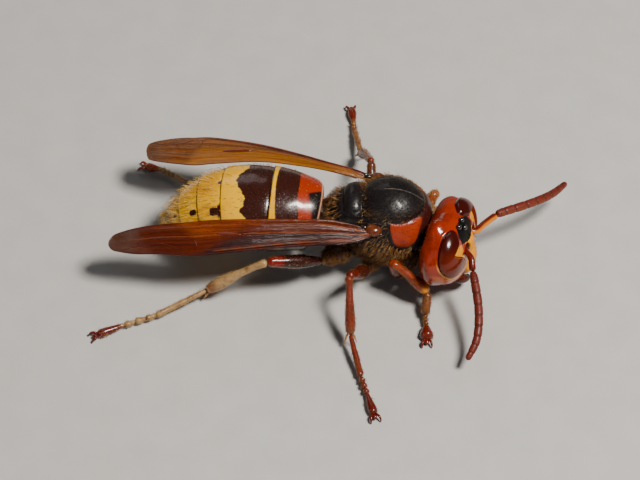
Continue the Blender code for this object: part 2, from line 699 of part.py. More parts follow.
def main():
    """Builds every part of the hornet."""
    make_thorax()
    head = make_head()
    make_mandibles(head)
    make_feelers(head)
    finish_node("head", head, "chestnut")
    make_abdomen()
    make_wings()
    make_legs()
    bpy.data.collections.remove(WORKSHOP)


main()
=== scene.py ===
# %% [markdown]
# A European hornet, life size, seen from above its right side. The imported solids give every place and
# size; this file dresses them. Each cell makes one body part the way the real animal is built: hard plates
# of chitin with seams between them, thin tinted wings on branching veins, and a coat of stiff golden
# hairs.

import math

import bpy
import numpy as np
from mathutils import Matrix, Vector


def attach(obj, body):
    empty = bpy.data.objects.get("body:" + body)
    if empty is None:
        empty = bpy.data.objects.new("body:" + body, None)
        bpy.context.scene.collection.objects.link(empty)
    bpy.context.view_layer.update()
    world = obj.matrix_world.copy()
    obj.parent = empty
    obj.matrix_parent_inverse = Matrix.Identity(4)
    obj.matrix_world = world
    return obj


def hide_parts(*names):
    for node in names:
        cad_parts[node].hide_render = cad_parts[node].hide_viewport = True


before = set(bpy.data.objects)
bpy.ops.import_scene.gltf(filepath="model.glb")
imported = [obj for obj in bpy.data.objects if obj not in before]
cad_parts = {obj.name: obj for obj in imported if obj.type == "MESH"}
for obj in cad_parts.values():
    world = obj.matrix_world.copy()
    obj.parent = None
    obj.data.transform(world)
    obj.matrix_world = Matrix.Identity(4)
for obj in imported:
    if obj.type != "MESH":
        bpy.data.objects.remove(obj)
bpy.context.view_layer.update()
print("solid nodes:", len(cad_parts))

# %% [markdown]
# Everything is drawn in millimetres, because a hornet is measured in them: +X is the way the thorax faces,
# +Y the hornet's left, and the floor is at height zero. One function moves drawn points to the packed
# frame in metres.

# %% From drawn millimetres to the frame
MM = 0.001
SPREAD_MIDDLE = np.array([-4.16, -0.08, 0.0])
SIDES = {"left": 1, "right": -1}


def to_frame(points):
    """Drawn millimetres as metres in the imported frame."""
    return (np.asarray(points, float) - SPREAD_MIDDLE) * MM

# %% [markdown]
# The camera looks along +Y and down by fifty degrees from 230 mm away, with a long lens, as a close-up of
# a live insect is taken. The image is 640 pixels wide, and 13.33 of them span a millimetre at the hornet's
# back.

# %% Camera
CAMERA_TARGET = np.array([-4.9, -0.7, 3.0])
CAMERA_DISTANCE = 230.0
CAMERA_ELEVATION = math.radians(50)
PIXELS_PER_MM = 13.33
IMAGE_WIDTH = 640
SENSOR = 36.0
NEAREST_SEEN = 0.01

camera_data = bpy.data.cameras.new("portrait_camera")
camera_data.sensor_width = SENSOR
camera_data.lens = PIXELS_PER_MM * CAMERA_DISTANCE / IMAGE_WIDTH * SENSOR
camera_data.clip_start = NEAREST_SEEN
camera = bpy.data.objects.new("portrait_camera", camera_data)
bpy.context.scene.collection.objects.link(camera)
backwards = np.array([0.0, -math.cos(CAMERA_ELEVATION), math.sin(CAMERA_ELEVATION)])
camera.location = to_frame(CAMERA_TARGET + CAMERA_DISTANCE * backwards)
camera.rotation_euler = (math.pi / 2 - CAMERA_ELEVATION, 0, 0)
bpy.context.scene.camera = camera
print("camera lens", round(camera_data.lens, 1), "mm")

# %% [markdown]
# The key light is a large soft lamp high on the hornet's right and ahead of it, where the photograph's
# highlights on the eye, the scutum and the first abdomen plate ask for it. Two weaker lamps light the
# sides that it leaves dark, and the floor is a plain pale sheet.

# %% Lights and floor
def soft_lamp(name, towards, distance, size, power, colour):
    """A square lamp that shines on the hornet from a direction, in millimetres."""
    data = bpy.data.lights.new(name, "AREA")
    data.size = size * MM
    data.energy = power
    data.color = colour
    lamp = bpy.data.objects.new(name, data)
    bpy.context.scene.collection.objects.link(lamp)
    way = Vector(towards).normalized()
    lamp.location = Vector(to_frame(CAMERA_TARGET)) + way * distance * MM
    lamp.rotation_euler = way.to_track_quat("Z", "Y").to_euler()


soft_lamp("key_lamp", (0.46, -0.30, 1.0), distance=260, size=55, power=1.22, colour=(1.0, 0.95, 0.88))
soft_lamp("fill_lamp", (-0.7, -0.9, 0.6), distance=300, size=220, power=0.05, colour=(0.9, 0.95, 1.0))
soft_lamp("rim_lamp", (-0.3, 0.95, 0.7), distance=300, size=120, power=0.07, colour=(1.0, 0.98, 0.95))

ROOM_COLOUR = (0.8, 0.82, 0.86, 1)
ROOM_STRENGTH = 0.075
world = bpy.data.worlds.new("soft_room")
world.use_nodes = True
world.node_tree.nodes["Background"].inputs["Color"].default_value = ROOM_COLOUR
world.node_tree.nodes["Background"].inputs["Strength"].default_value = ROOM_STRENGTH
bpy.context.scene.world = world

FLOOR_SIZE = 4.0
FLOOR_DROP = 0.00002
floor_mesh = bpy.data.meshes.new("pale_floor")
half = FLOOR_SIZE / 2
corners = ((-half, -half), (half, -half), (half, half), (-half, half))
floor_mesh.from_pydata([(x, y, -FLOOR_DROP) for x, y in corners], [], [(0, 1, 2, 3)])
floor = bpy.data.objects.new("pale_floor", floor_mesh)
bpy.context.scene.collection.objects.link(floor)
print("lamps and floor ready")

# %% [markdown]
# A material is a small network of nodes. These helpers make a node, join it to others, and mix values or
# colours, so that each recipe further down reads in a few lines.

# %% Node helpers
MIX_SHARE, MIX_FIRST, MIX_SECOND, MIX_RESULT = 0, 6, 7, 2


def join(tree, value, socket):
    """Links an output to an input, or sets the input to a value."""
    if isinstance(value, bpy.types.NodeSocket):
        tree.links.new(value, socket)
    else:
        socket.default_value = value


def add_node(tree, kind, settings=None, **inputs):
    """A node with its settings, and its inputs joined to sockets or set to values."""
    node = tree.nodes.new(kind)
    for label, value in (settings or {}).items():
        setattr(node, label, value)
    for label, value in inputs.items():
        join(tree, value, node.inputs[label.replace("_", " ")])
    return node


def calculate(tree, operation, *values):
    """A math node's result."""
    node = add_node(tree, "ShaderNodeMath", {"operation": operation})
    for value, socket in zip(values, node.inputs):
        join(tree, value, socket)
    return node.outputs[0]


def ramp_value(tree, value, low, high, start=0.0, end=1.0):
    """A value carried smoothly from one range to another."""
    node = add_node(tree, "ShaderNodeMapRange", {"interpolation_type": "SMOOTHSTEP"}, Value=value,
                    From_Min=low, From_Max=high, To_Min=start, To_Max=end)
    return node.outputs["Result"]


def blend_colours(tree, share, first, second):
    """Two colours mixed by a share."""
    node = add_node(tree, "ShaderNodeMix", {"data_type": "RGBA"})
    for value, number in ((share, MIX_SHARE), (first, MIX_FIRST), (second, MIX_SECOND)):
        join(tree, value, node.inputs[number])
    return node.outputs[MIX_RESULT]


def place_of(tree):
    """Coordinates that stay with the piece."""
    return add_node(tree, "ShaderNodeTexCoord").outputs["Object"]


def stored(tree, name):
    """A value stored on the mesh."""
    return add_node(tree, "ShaderNodeAttribute", {"attribute_name": name}).outputs["Fac"]


def new_group(name, inputs, outputs):
    """A shader node group with named sockets: each is a name, a kind and a first value."""
    group = bpy.data.node_groups.new(name, "ShaderNodeTree")
    kinds = {"colour": "NodeSocketColor", "value": "NodeSocketFloat"}
    for label, kind, first in inputs:
        socket = group.interface.new_socket(label, in_out="INPUT", socket_type=kinds[kind])
        socket.default_value = first
    for label, kind in outputs:
        group.interface.new_socket(label, in_out="OUTPUT", socket_type=kinds[kind])
    return group, group.nodes.new("NodeGroupInput"), group.nodes.new("NodeGroupOutput")


print("node helpers ready")

# %% [markdown]
# Chitin is never one flat colour: it is mottled, a little rougher in some places than in others, and
# pitted where each short hair stands. One node group gives that mottle, gloss and pitting to every hard
# plate. A second one turns a stored distance from a marking's edge, in millimetres, into a crisp edge that
# wavers as pigment does.

# %% Node groups
MM_PER_METRE = 1000.0
MOTTLE_RANGE = (0.42, 0.75)
PIT_EDGE = 0.38
SPECK_SCALE = 7000.0
SPECK_RANGE, ROUGHNESS_CHANGE = (0.3, 0.7), (-0.05, 0.07)
RIPPLE = 0.12
WAVER_SCALE = 3200.0


def chitin_group():
    """Mottled, pitted, unevenly glossy cuticle."""
    group, given, result = new_group(
        "chitin",
        [("Colour", "colour", (0.4, 0.05, 0.01, 1)), ("Deep Colour", "colour", (0.1, 0.01, 0.005, 1)),
         ("Mottle Size", "value", 1.0), ("Pit Size", "value", 0.12), ("Pit Depth", "value", 0.4),
         ("Gloss", "value", 0.25)],
        [("Colour", "colour"), ("Roughness", "value"), ("Height", "value")])
    place = place_of(group)
    mottle_scale = calculate(group, "DIVIDE", MM_PER_METRE, given.outputs["Mottle Size"])
    mottle = add_node(group, "ShaderNodeTexNoise", Vector=place, Scale=mottle_scale, Detail=4.0,
                      Roughness=0.6)
    share = ramp_value(group, mottle.outputs["Fac"], *MOTTLE_RANGE)
    pit_scale = calculate(group, "DIVIDE", MM_PER_METRE, given.outputs["Pit Size"])
    cells = add_node(group, "ShaderNodeTexVoronoi", Vector=place, Scale=pit_scale)
    pits = ramp_value(group, cells.outputs["Distance"], 0.0, PIT_EDGE)
    speck = add_node(group, "ShaderNodeTexNoise", Vector=place, Scale=SPECK_SCALE, Detail=2.0)
    rough = ramp_value(group, speck.outputs["Fac"], *SPECK_RANGE, *ROUGHNESS_CHANGE)
    dips = calculate(group, "MULTIPLY", pits, given.outputs["Pit Depth"])
    ripples = calculate(group, "MULTIPLY", speck.outputs["Fac"], RIPPLE)
    colour = blend_colours(group, share, given.outputs["Colour"], given.outputs["Deep Colour"])
    join(group, colour, result.inputs["Colour"])
    join(group, calculate(group, "ADD", given.outputs["Gloss"], rough), result.inputs["Roughness"])
    join(group, calculate(group, "ADD", dips, ripples), result.inputs["Height"])
    return group


def edge_group():
    """A marking from a stored distance to its edge."""
    group, given, result = new_group(
        "marking_edge",
        [("Distance", "value", 0.0), ("Waver", "value", 0.05), ("Softness", "value", 0.04)],
        [("Mask", "value")])
    noise = add_node(group, "ShaderNodeTexNoise", Vector=place_of(group), Scale=WAVER_SCALE, Detail=3.0)
    shift = calculate(group, "MULTIPLY", calculate(group, "SUBTRACT", noise.outputs["Fac"], 0.5),
                      given.outputs["Waver"])
    moved = calculate(group, "ADD", given.outputs["Distance"], calculate(group, "MULTIPLY", shift, 2.0))
    low = calculate(group, "MULTIPLY", given.outputs["Softness"], -1.0)
    join(group, ramp_value(group, moved, low, given.outputs["Softness"]), result.inputs["Mask"])
    return group


CHITIN = chitin_group()
MARKING_EDGE = edge_group()
print("node groups:", [group.name for group in bpy.data.node_groups])

# %% [markdown]
# Every hard plate shares one recipe: the chitin group, then its markings laid on one after the other, a
# thin clear coat, and a little relief. Where a plate has dull parts, a stored edge takes the coat off and
# roughens them.

# %% Materials
MARKING_WAVER = 0.03
DULL_SOFTNESS, DULL_ROUGHNESS = 0.04, 0.5


def use_group(tree, group, **values):
    """A group placed in a material with its own values."""
    return add_node(tree, "ShaderNodeGroup", {"node_tree": group}, **values)


def marking(tree, name, waver, softness):
    """The mask of a marking whose edge distance is stored on the mesh under this name."""
    edge = use_group(tree, MARKING_EDGE, Distance=stored(tree, name), Waver=waver, Softness=softness)
    return edge.outputs["Mask"]


def new_material(name, **settings):
    """A material and its shader, with settings that are the same all over it."""
    finish = bpy.data.materials.new(name)
    finish.use_nodes = True
    shader = finish.node_tree.nodes["Principled BSDF"]
    for label, value in settings.items():
        shader.inputs[label.replace("_", " ")].default_value = value
    return finish, finish.node_tree, shader


def bump(tree, shader, height, depth):
    """Relief from a height, in millimetres."""
    node = add_node(tree, "ShaderNodeBump", Strength=1.0, Distance=depth * MM, Height=height)
    tree.links.new(node.outputs["Normal"], shader.inputs["Normal"])


def plate_material(name, colour, deep, markings=(), gloss=0.22, mottle=1.2, pit=0.13, pit_depth=0.3,
                   relief=0.02, coat=0.15, specular=0.3, sheen=0.1, dull_edge=None):
    """Glossy chitin. Each marking is a stored edge's name, its colour and its softness, laid over those
    before it. Inside the dull edge the plate has no clear coat and is rough."""
    finish, tree, shader = new_material(name, Coat_Roughness=sheen, Coat_Weight=coat,
                                        Specular_IOR_Level=specular)
    chitin = use_group(tree, CHITIN, Colour=(*colour, 1), Deep_Colour=(*deep, 1), Mottle_Size=mottle,
                       Pit_Size=pit, Pit_Depth=pit_depth, Gloss=gloss)
    shown, rough = chitin.outputs["Colour"], chitin.outputs["Roughness"]
    for edge, paint, softness in markings:
        shown = blend_colours(tree, marking(tree, edge, MARKING_WAVER, softness), shown, (*paint, 1))
    tree.links.new(shown, shader.inputs["Base Color"])
    if dull_edge:
        dull = marking(tree, dull_edge, MARKING_WAVER, DULL_SOFTNESS)
        layer = add_node(tree, "ShaderNodeMapRange", Value=dull, To_Min=coat, To_Max=0.0)
        tree.links.new(layer.outputs["Result"], shader.inputs["Coat Weight"])
        rough = add_node(tree, "ShaderNodeMapRange", Value=dull, To_Min=rough,
                         To_Max=DULL_ROUGHNESS).outputs["Result"]
    tree.links.new(rough, shader.inputs["Roughness"])
    bump(tree, shader, chitin.outputs["Height"], relief)
    return finish


FLOOR_TONES = ((0.42, 0.41, 0.395, 1), (0.50, 0.49, 0.475, 1))
floor_finish, floor_tree, floor_shader = new_material("pale_floor", Roughness=0.85)
grain = add_node(floor_tree, "ShaderNodeTexNoise", Vector=place_of(floor_tree), Scale=400.0, Detail=4.0)
floor_tree.links.new(blend_colours(floor_tree, grain.outputs["Fac"], *FLOOR_TONES),
                     floor_shader.inputs["Base Color"])
floor_mesh.materials.append(floor_finish)
print("floor finish ready")

# %% [markdown]
# Every body part is a skin: rings of points from one end to the other, closed by a point at each end. The
# same rings later tell where hairs may root, so skin and coat always agree. Points are worked out for a
# whole ring at once, which keeps fine meshes quick to make.

# %% Skins from rings
TINY = 1e-9
NO_QUADS, NO_TRIANGLES = np.zeros((0, 4), int), np.zeros((0, 3), int)


def unit(vectors):
    """Vectors made one long."""
    size = np.linalg.norm(vectors, axis=-1, keepdims=True)
    return vectors / np.maximum(size, TINY)


def ring_faces(rows, columns):
    """Quads between closed rings of points."""
    i, j = np.meshgrid(np.arange(rows - 1), np.arange(columns), indexing="ij")
    after = (j + 1) % columns
    corners = [i * columns + j, i * columns + after, (i + 1) * columns + after, (i + 1) * columns + j]
    return np.stack(corners, -1).reshape(-1, 4)


def end_fans(rows, columns):
    """Triangles from the first and last rings to the two end points that follow the rings."""
    j = np.arange(columns)
    after = (j + 1) % columns
    last = (rows - 1) * columns
    first_fan = np.stack([np.full(columns, rows * columns), after, j], -1)
    last_fan = np.stack([np.full(columns, rows * columns + 1), last + j, last + after], -1)
    return np.concatenate([first_fan, last_fan])


def signed_volume(points, quads, triangles):
    """Positive when the faces look outwards."""
    split = np.concatenate([quads[:, [0, 1, 2]], quads[:, [0, 2, 3]], triangles])
    a, b, c = (points[split[:, k]] for k in range(3))
    return np.einsum("ij,ij->i", a, np.cross(b, c)).sum() / 6


def mesh_of(name, points, quads=NO_QUADS, triangles=NO_TRIANGLES, values=None):
    """A smooth mesh in the frame whose faces look outwards, with values stored on its points."""
    if signed_volume(points, quads, triangles) < 0:
        quads, triangles = quads[:, ::-1], triangles[:, ::-1]
    mesh = bpy.data.meshes.new(name)
    mesh.vertices.add(len(points))
    mesh.vertices.foreach_set("co", to_frame(points).astype(np.float32).ravel())
    corners = np.concatenate([quads.ravel(), triangles.ravel()]).astype(np.int32)
    starts = np.concatenate([np.arange(len(quads)) * 4, len(quads) * 4 + np.arange(len(triangles)) * 3])
    mesh.loops.add(len(corners))
    mesh.loops.foreach_set("vertex_index", corners)
    mesh.polygons.add(len(starts))
    mesh.polygons.foreach_set("loop_start", starts.astype(np.int32))
    mesh.update(calc_edges=True)
    mesh.polygons.foreach_set("use_smooth", np.ones(len(starts), bool))
    for label, numbers in (values or {}).items():
        stored_values = mesh.attributes.new(label, "FLOAT", "POINT")
        stored_values.data.foreach_set("value", np.asarray(numbers, np.float32).ravel())
    return mesh


def add_piece(name, mesh, finish, nodes=()):
    """A mesh as a piece of the hornet: it rides on the body and stands for these solids."""
    mesh.materials.append(finish)
    piece = bpy.data.objects.new(name, mesh)
    bpy.context.scene.collection.objects.link(piece)
    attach(piece, "root")
    if nodes:
        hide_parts(*nodes)


def skin_piece(name, rings, finish, nodes=(), values=None):
    """A closed skin from rings, as a piece. Values hold one number for each ring point."""
    rows, columns = rings.shape[:2]
    points = np.concatenate([rings.reshape(-1, 3), [rings[0].mean(0), rings[-1].mean(0)]])
    full = {}
    for label, numbers in (values or {}).items():
        numbers = np.asarray(numbers, float)
        full[label] = np.concatenate([numbers.ravel(), [numbers[0].mean(), numbers[-1].mean()]])
    mesh = mesh_of(name, points, ring_faces(rows, columns), end_fans(rows, columns), full)
    add_piece(name, mesh, finish, nodes)


print("skin helpers ready")

# %% [markdown]
# Grown skin is never quite even, and its relief has soft borders. These helpers give a smooth step, a soft
# ridge and a random swell that is the same in every run.

# %% Soft shapes
WAVE_COUNT = 14
WAVE_DRAW = np.random.default_rng(11)
WAVES = WAVE_DRAW.normal(size=(WAVE_COUNT, 3))
WAVE_SHIFTS = WAVE_DRAW.uniform(0, 2 * math.pi, WAVE_COUNT)
WAVES_IN_SWELL, WAVE_STRENGTH = 2.2, 2.4
UNEVENNESS = 0.012


def rotation(matrix):
    """A rotation as a 3 by 3 array."""
    return np.array(matrix.to_3x3())


def smoothstep(value, low, high):
    """0 below low, 1 above high, and smooth between."""
    t = np.clip((value - low) / (high - low), 0, 1)
    return t * t * (3 - 2 * t)


def bell(distance, width):
    """1 at no distance, falling to almost nothing past the width."""
    return np.exp(-((distance / width) ** 2))


def waver(points, size):
    """A smooth random value from about -1 to 1, whose swells are this many millimetres across."""
    return np.sin(points @ (WAVES.T * WAVES_IN_SWELL / size) + WAVE_SHIFTS).mean(-1) * WAVE_STRENGTH


def uneven(rings, size):
    """Rings swollen and sunk a little, as grown skin is."""
    return rings + UNEVENNESS * waver(rings, size)[..., None] * unit(rings - rings.mean(1, keepdims=True))


print("waves drawn:", WAVE_COUNT)

# %% [markdown]
# The thorax is a box of several plates: the domed black scutum with the scutellum behind it, the red
# collar plate whose side lobes reach the wing roots, and the side plates below. One surface is found by
# asking, for each direction from the middle, how far the rounded masses reach. The plates' outlines are
# drawn from above, or from the side for the collar's lobe, as smooth curves through a few points.

# %% Thorax masses and outlines
THORAX_TURN = rotation(Matrix.Rotation(math.radians(-4), 4, "Z"))
THORAX_MIDDLE = np.array([-0.6, 0.0, 4.9])
THORAX_MASSES = [
    ((0.4, 0, 5.65), (2.75, 2.55, 2.45)), ((-0.1, 0, 4.5), (2.95, 3.1, 3.05)),
    ((1.75, 0, 4.85), (1.75, 2.65, 2.15)), ((-2.35, 0, 6.15), (1.2, 1.9, 1.35)),
    ((-3.0, 0, 5.5), (0.95, 1.65, 1.2)), ((-2.9, 0, 4.55), (1.6, 2.3, 2.15)),
]
THORAX_FILLET = 17
FAR_OFF = 1e9


def mass_reach(middle, directions, centre, half):
    """How far a rounded mass reaches from a point in each direction, or nothing where it is missed."""
    start, way = (middle - np.array(centre)) / half, directions / half
    a, b = (way * way).sum(-1), (way * start).sum(-1)
    under = b * b - a * ((start * start).sum() - 1)
    return np.maximum(np.where(under > 0, (-b + np.sqrt(np.maximum(under, 0))) / a, 0), 0)


def thorax_reach(directions):
    """How far the joined masses reach from the thorax's middle in each direction."""
    total = sum(mass_reach(THORAX_MIDDLE, directions, *mass) ** THORAX_FILLET for mass in THORAX_MASSES)
    return total ** (1 / THORAX_FILLET)


def sphere_directions(rows, columns, margin):
    """Directions on rings from +X to -X."""
    tilt = np.linspace(margin, math.pi - margin, rows)[:, None]
    turn = np.linspace(-math.pi, math.pi, columns, endpoint=False)[None, :]
    return np.stack([np.cos(tilt) + 0 * turn, np.sin(tilt) * np.cos(turn), np.sin(tilt) * np.sin(turn)], -1)


def line_distance(x, y, start, end):
    """Millimetres in a plane to the straight line from one point to another."""
    run_x, run_y = end[0] - start[0], end[1] - start[1]
    t = np.clip(((x - start[0]) * run_x + (y - start[1]) * run_y) / (run_x**2 + run_y**2), 0, 1)
    return np.hypot(x - start[0] - t * run_x, y - start[1] - t * run_y)


def seam_distance(x, z, seam):
    """Millimetres to an open line through points in a plane."""
    return np.minimum.reduce([line_distance(x, z, *ends) for ends in zip(seam, seam[1:])])


def outline_distance(x, y, points):
    """Millimetres to a closed outline in a plane, positive inside it."""
    corners = np.asarray(points, float)
    nearest, inside = np.full(x.shape, FAR_OFF), np.zeros(x.shape, bool)
    for start, end in zip(corners, np.roll(corners, -1, axis=0)):
        nearest = np.minimum(nearest, line_distance(x, y, start, end))
        rise = end[1] - start[1] or TINY
        edge_x = start[0] + (y - start[1]) / rise * (end[0] - start[0])
        inside ^= ((start[1] > y) != (end[1] > y)) & (x < edge_x)
    return np.where(inside, nearest, -nearest)


def rounded_outline(points, steps=6):
    """A closed smooth curve through points."""
    given = np.asarray(points, float)
    curve = []
    for k in range(len(given)):
        a, b, c, d = (given[(k + shift) % len(given)] for shift in (-1, 0, 1, 2))
        for t in np.arange(steps) / steps:
            curve.append(0.5 * (2 * b + (c - a) * t + (2 * a - 5 * b + 4 * c - d) * t**2
                                + (3 * b - a - 3 * c + d) * t**3))
    return np.array(curve)


def both_sides(points):
    """A smooth outline that is the same on both sides of the middle line, from its left side's points."""
    return rounded_outline(points + [(x, -y) for x, y in reversed(points) if y])


SCUTUM = both_sides([(-1.75, 0), (-1.75, 1.35), (-0.75, 2.05), (0.5, 2.25), (1.5, 2.05), (2.45, 1.4),
                     (2.95, 0.5)])
SCUTELLUM = both_sides([(-1.85, 0), (-1.85, 1.2), (-2.4, 1.55), (-3.1, 1.15), (-3.25, 0)])
METANOTUM = both_sides([(-3.25, 0), (-3.1, 1.3), (-2.5, 1.75), (-3.0, 1.95), (-3.75, 1.1), (-3.85, 0)])
COLLAR_LOBE = rounded_outline([(0.5, 6.75), (1.2, 6.95), (2.2, 6.8), (2.75, 6.5), (2.6, 5.9), (2.3, 5.1),
                               (1.7, 4.7), (1.1, 4.85), (0.7, 5.5)])
SIDE_SEAM = [(0.2, 6.6), (0.35, 5.6), (0.75, 4.9), (1.2, 4.35), (1.9, 4.2), (2.4, 3.4)]
REAR_SEAM = [(-1.9, 6.3), (-1.75, 5.2), (-1.4, 4.2), (-1.5, 3.0), (-1.2, 2.0)]
WING_SEAM = [(0.2, 6.05), (-0.8, 5.65), (-1.8, 5.55)]
print("points of the scutum's outline:", len(SCUTUM))

# %% [markdown]
# The seams between the plates are cut into that surface as fine grooves, which keeps them exactly where
# the colours change. Each plate then stands a little proud of the next, as on the real animal, where they
# overlap.

# %% Thorax surface
THORAX_GRID, POLE_GAP = (260, 320), 0.03
NO_MARKING = -1.0
GROOVE_WIDTH = 0.09
SCUTUM_GROOVE, REAR_GROOVE = 0.09, 0.04
SIDE_GROOVE, REAR_SIDE_GROOVE, WING_GROOVE = 0.10, 0.12, 0.08
SCUTUM_LINES = (-1.05, 1.05)
THORAX_SWELLS = (0.015, 0.5)
SPOT_PLACE, SPOT_RADIUS = (-1.80, 0.95), 0.17


def thorax_skin(rows, columns):
    """The thorax's rings in its own frame, with its plates' relief, and the distances to its markings."""
    directions = sphere_directions(rows, columns, POLE_GAP)
    own = THORAX_MIDDLE + directions * thorax_reach(directions)[..., None]
    x, y, z = np.moveaxis(own, -1, 0)
    off_middle = np.abs(y)
    side = smoothstep(off_middle, 1.2, 1.6)
    scutum = np.where(z > 5.6, outline_distance(x, y, SCUTUM), NO_MARKING)
    scutellum = np.where(z > 5.6, outline_distance(x, y, SCUTELLUM), NO_MARKING)
    metanotum = np.where(z > 4.8, outline_distance(x, y, METANOTUM), NO_MARKING)
    lobe = np.where(off_middle > 1.0, outline_distance(x, z, COLLAR_LOBE), NO_MARKING)
    lobe = np.minimum(lobe, -scutum - 0.07)
    lift = np.zeros(x.shape)
    # Grooves round the three plates of the back, which then stand a little proud.
    for edge, depth in ((scutum, SCUTUM_GROOVE), (scutellum, REAR_GROOVE), (metanotum, REAR_GROOVE)):
        lift -= depth * bell(edge, GROOVE_WIDTH) * smoothstep(z, 4.6, 5.4)
    lift += 0.05 * smoothstep(scutellum, 0.0, 0.7) + 0.03 * smoothstep(metanotum, 0.0, 0.3)
    # The red lobe has a fine groove round it and swells outwards.
    lift -= 0.03 * bell(lobe, 0.05) * side - 0.09 * smoothstep(lobe, -0.1, 0.9) * side
    # Seams of the flank.
    for seam, depth in ((SIDE_SEAM, SIDE_GROOVE), (REAR_SEAM, REAR_SIDE_GROOVE), (WING_SEAM, WING_GROOVE)):
        lift -= depth * bell(seam_distance(x, z, seam), GROOVE_WIDTH) * smoothstep(off_middle, 1.4, 1.9)
    # The middle line of the scutum, the two short lines beside it, and the furrow at the thorax's rear.
    lift -= 0.03 * bell(y, 0.035) * smoothstep(scutum, 0.1, 0.5) * smoothstep(x, -0.4, 0.2)
    for line in SCUTUM_LINES:
        lift -= 0.025 * bell(y - line, 0.05) * smoothstep(scutum, 0.1, 0.4) * smoothstep(-x, -0.9, -0.2)
    lift -= 0.08 * bell(y, 0.12) * smoothstep(-x, 3.2, 3.6)
    lift += THORAX_SWELLS[0] * waver(own, THORAX_SWELLS[1])
    # The pale line narrows backwards and fades out at the scutum's rim.
    pale_line = 0.03 - off_middle + np.minimum(0, x + 0.1) * 0.4 - np.maximum(0, 0.25 - scutum)
    spot = SPOT_RADIUS - np.hypot((x - SPOT_PLACE[0]) * 0.8, y - SPOT_PLACE[1])
    return own + directions * lift[..., None], {
        "scutum": scutum, "scutellum": scutellum, "red_plate": lobe, "scutum_line": pale_line,
        "dark_collar": np.minimum(0.32 - np.abs(scutum + 0.34), x - 1.2), "scutellum_spot": spot}


def thorax_to_drawing(points):
    """From the thorax's own frame to the drawing."""
    return points @ THORAX_TURN.T


thorax_rings, thorax_values = thorax_skin(*THORAX_GRID)
print("thorax surface", thorax_rings.shape)

# %% [markdown]
# The scutum is almost black with a soft satin shine, the collar plate's lobes glow red-orange. The fine
# pale line along the middle of the scutum is a real seam of the plate, and a faint red spot lies in front
# of the scutellum on the far side. The same black finish covers a rounded plate under the thorax, where
# the hips are rooted.

# %% Thorax piece
BLACK = (0.007, 0.005, 0.005)
DEEP_BLACK = (0.003, 0.002, 0.002)
CHESTNUT = (0.27, 0.018, 0.001)
THORAX_MARKINGS = (("dark_collar", (0.035, 0.004, 0.002), 0.15), ("red_plate", (0.28, 0.024, 0.003), 0.05),
                   ("scutum_line", (0.10, 0.09, 0.075), 0.02), ("scutellum_spot", (0.06, 0.005, 0.003), 0.12))
UNDER_PLATE = (-2.0, 0.0, 3.05), (1.7, 2.1, 1.25)
DOME_GAP = 0.05


def dome_rings(centre, half, turn, rows=40, columns=56):
    """A small dome's rings, as a rounded lens."""
    return (sphere_directions(rows, columns, DOME_GAP) * half + centre) @ turn.T


thorax_finish = plate_material("thorax_chitin", BLACK, DEEP_BLACK, gloss=0.40, mottle=0.8, pit=0.13,
                               pit_depth=1.3, relief=0.06, coat=0.12, markings=THORAX_MARKINGS)
skin_piece("thorax_plates", thorax_to_drawing(thorax_rings), thorax_finish, ["thorax"],
           thorax_values)
under_rings = dome_rings(*UNDER_PLATE, THORAX_TURN)
unmarked = {label: under_rings[..., 0] * 0 + NO_MARKING for label, _, _ in THORAX_MARKINGS}
skin_piece("under_plate", under_rings, thorax_finish, (), unmarked)
print("thorax dressed")

# %% [markdown]
# A tegula is a small polished scale that shields each forewing's root. Beside it lie a few hard plates,
# dark, glossy and tightly packed, on which the wing turns. All of them are small domes.

# %% Tegulae and wing-root plates
TEGULA = (-0.8, 2.55, 6.22), (0.66, 0.5, 0.44)
WING_ROOT_PLATES = [((-1.5, 2.5, 6.45), (0.3, 0.16, 0.16)), ((-1.75, 2.75, 6.35), (0.26, 0.14, 0.15)),
                    ((-0.25, 2.72, 5.95), (0.2, 0.16, 0.2)), ((-1.3, 3.0, 6.0), (0.34, 0.15, 0.17))]
tegula_finish = plate_material("tegula_chitin", (0.11, 0.022, 0.005), (0.04, 0.007, 0.002), gloss=0.28,
                               mottle=0.4, coat=0.5)
root_plate_finish = plate_material("wing_root_plate", (0.020, 0.006, 0.004), DEEP_BLACK, gloss=0.12,
                                   mottle=0.4, pit=0.08, coat=0.8)
for word, side in SIDES.items():
    rings = dome_rings(np.array(TEGULA[0]) * [1, side, 1], TEGULA[1], THORAX_TURN)
    skin_piece(f"tegula_dome_{word}", rings, tegula_finish, [f"tegula_{word}"])
for word, side in SIDES.items():
    for number, (spot, half) in enumerate(WING_ROOT_PLATES):
        rings = dome_rings(np.array(spot) * [1, side, 1], half, THORAX_TURN, 24, 28)
        skin_piece(f"root_plate_{number}_{word}", rings, root_plate_finish)
print("plates at each wing root:", len(WING_ROOT_PLATES) + 1)

# %% [markdown]
# The head is broad behind the eyes, flat behind and narrow at the jaws. Its shell is a rounded block whose
# widest ring lies at the eyes. The eye sockets are sunk into it by the eye's own outline, so that the eyes
# can be separate glossy lenses, and the face plate and the brow between the feelers are raised on it.

# %% Head form
HEAD_MIDDLE = np.array([4.58, -1.98, 4.12])
HEAD_TURN = rotation(Matrix.Rotation(math.radians(-18), 4, "Z") @ Matrix.Rotation(math.radians(-4), 4, "Y")
                     @ Matrix.Rotation(math.radians(4), 4, "X"))
HEAD_WIDTH, HEAD_HEIGHT, HEAD_FRONT, HEAD_BACK = 6.85, 5.85, 1.87, 1.6
HEAD_ROUNDNESS, HEAD_CORNERS, CHIN_NARROWING, FACE_MIDDLE = 2.3, 0.84, 0.34, 0.12
HEAD_SEARCH, HEAD_HALVINGS = (0.0, 6.0), 34
FACE_SHIELD = (1.25, FACE_MIDDLE, -1.35), (0.85, 1.35, 1.35)
BROW = (1.42, FACE_MIDDLE, 0.6), (0.62, 0.75, 0.85)
FACE_FILLET = 30


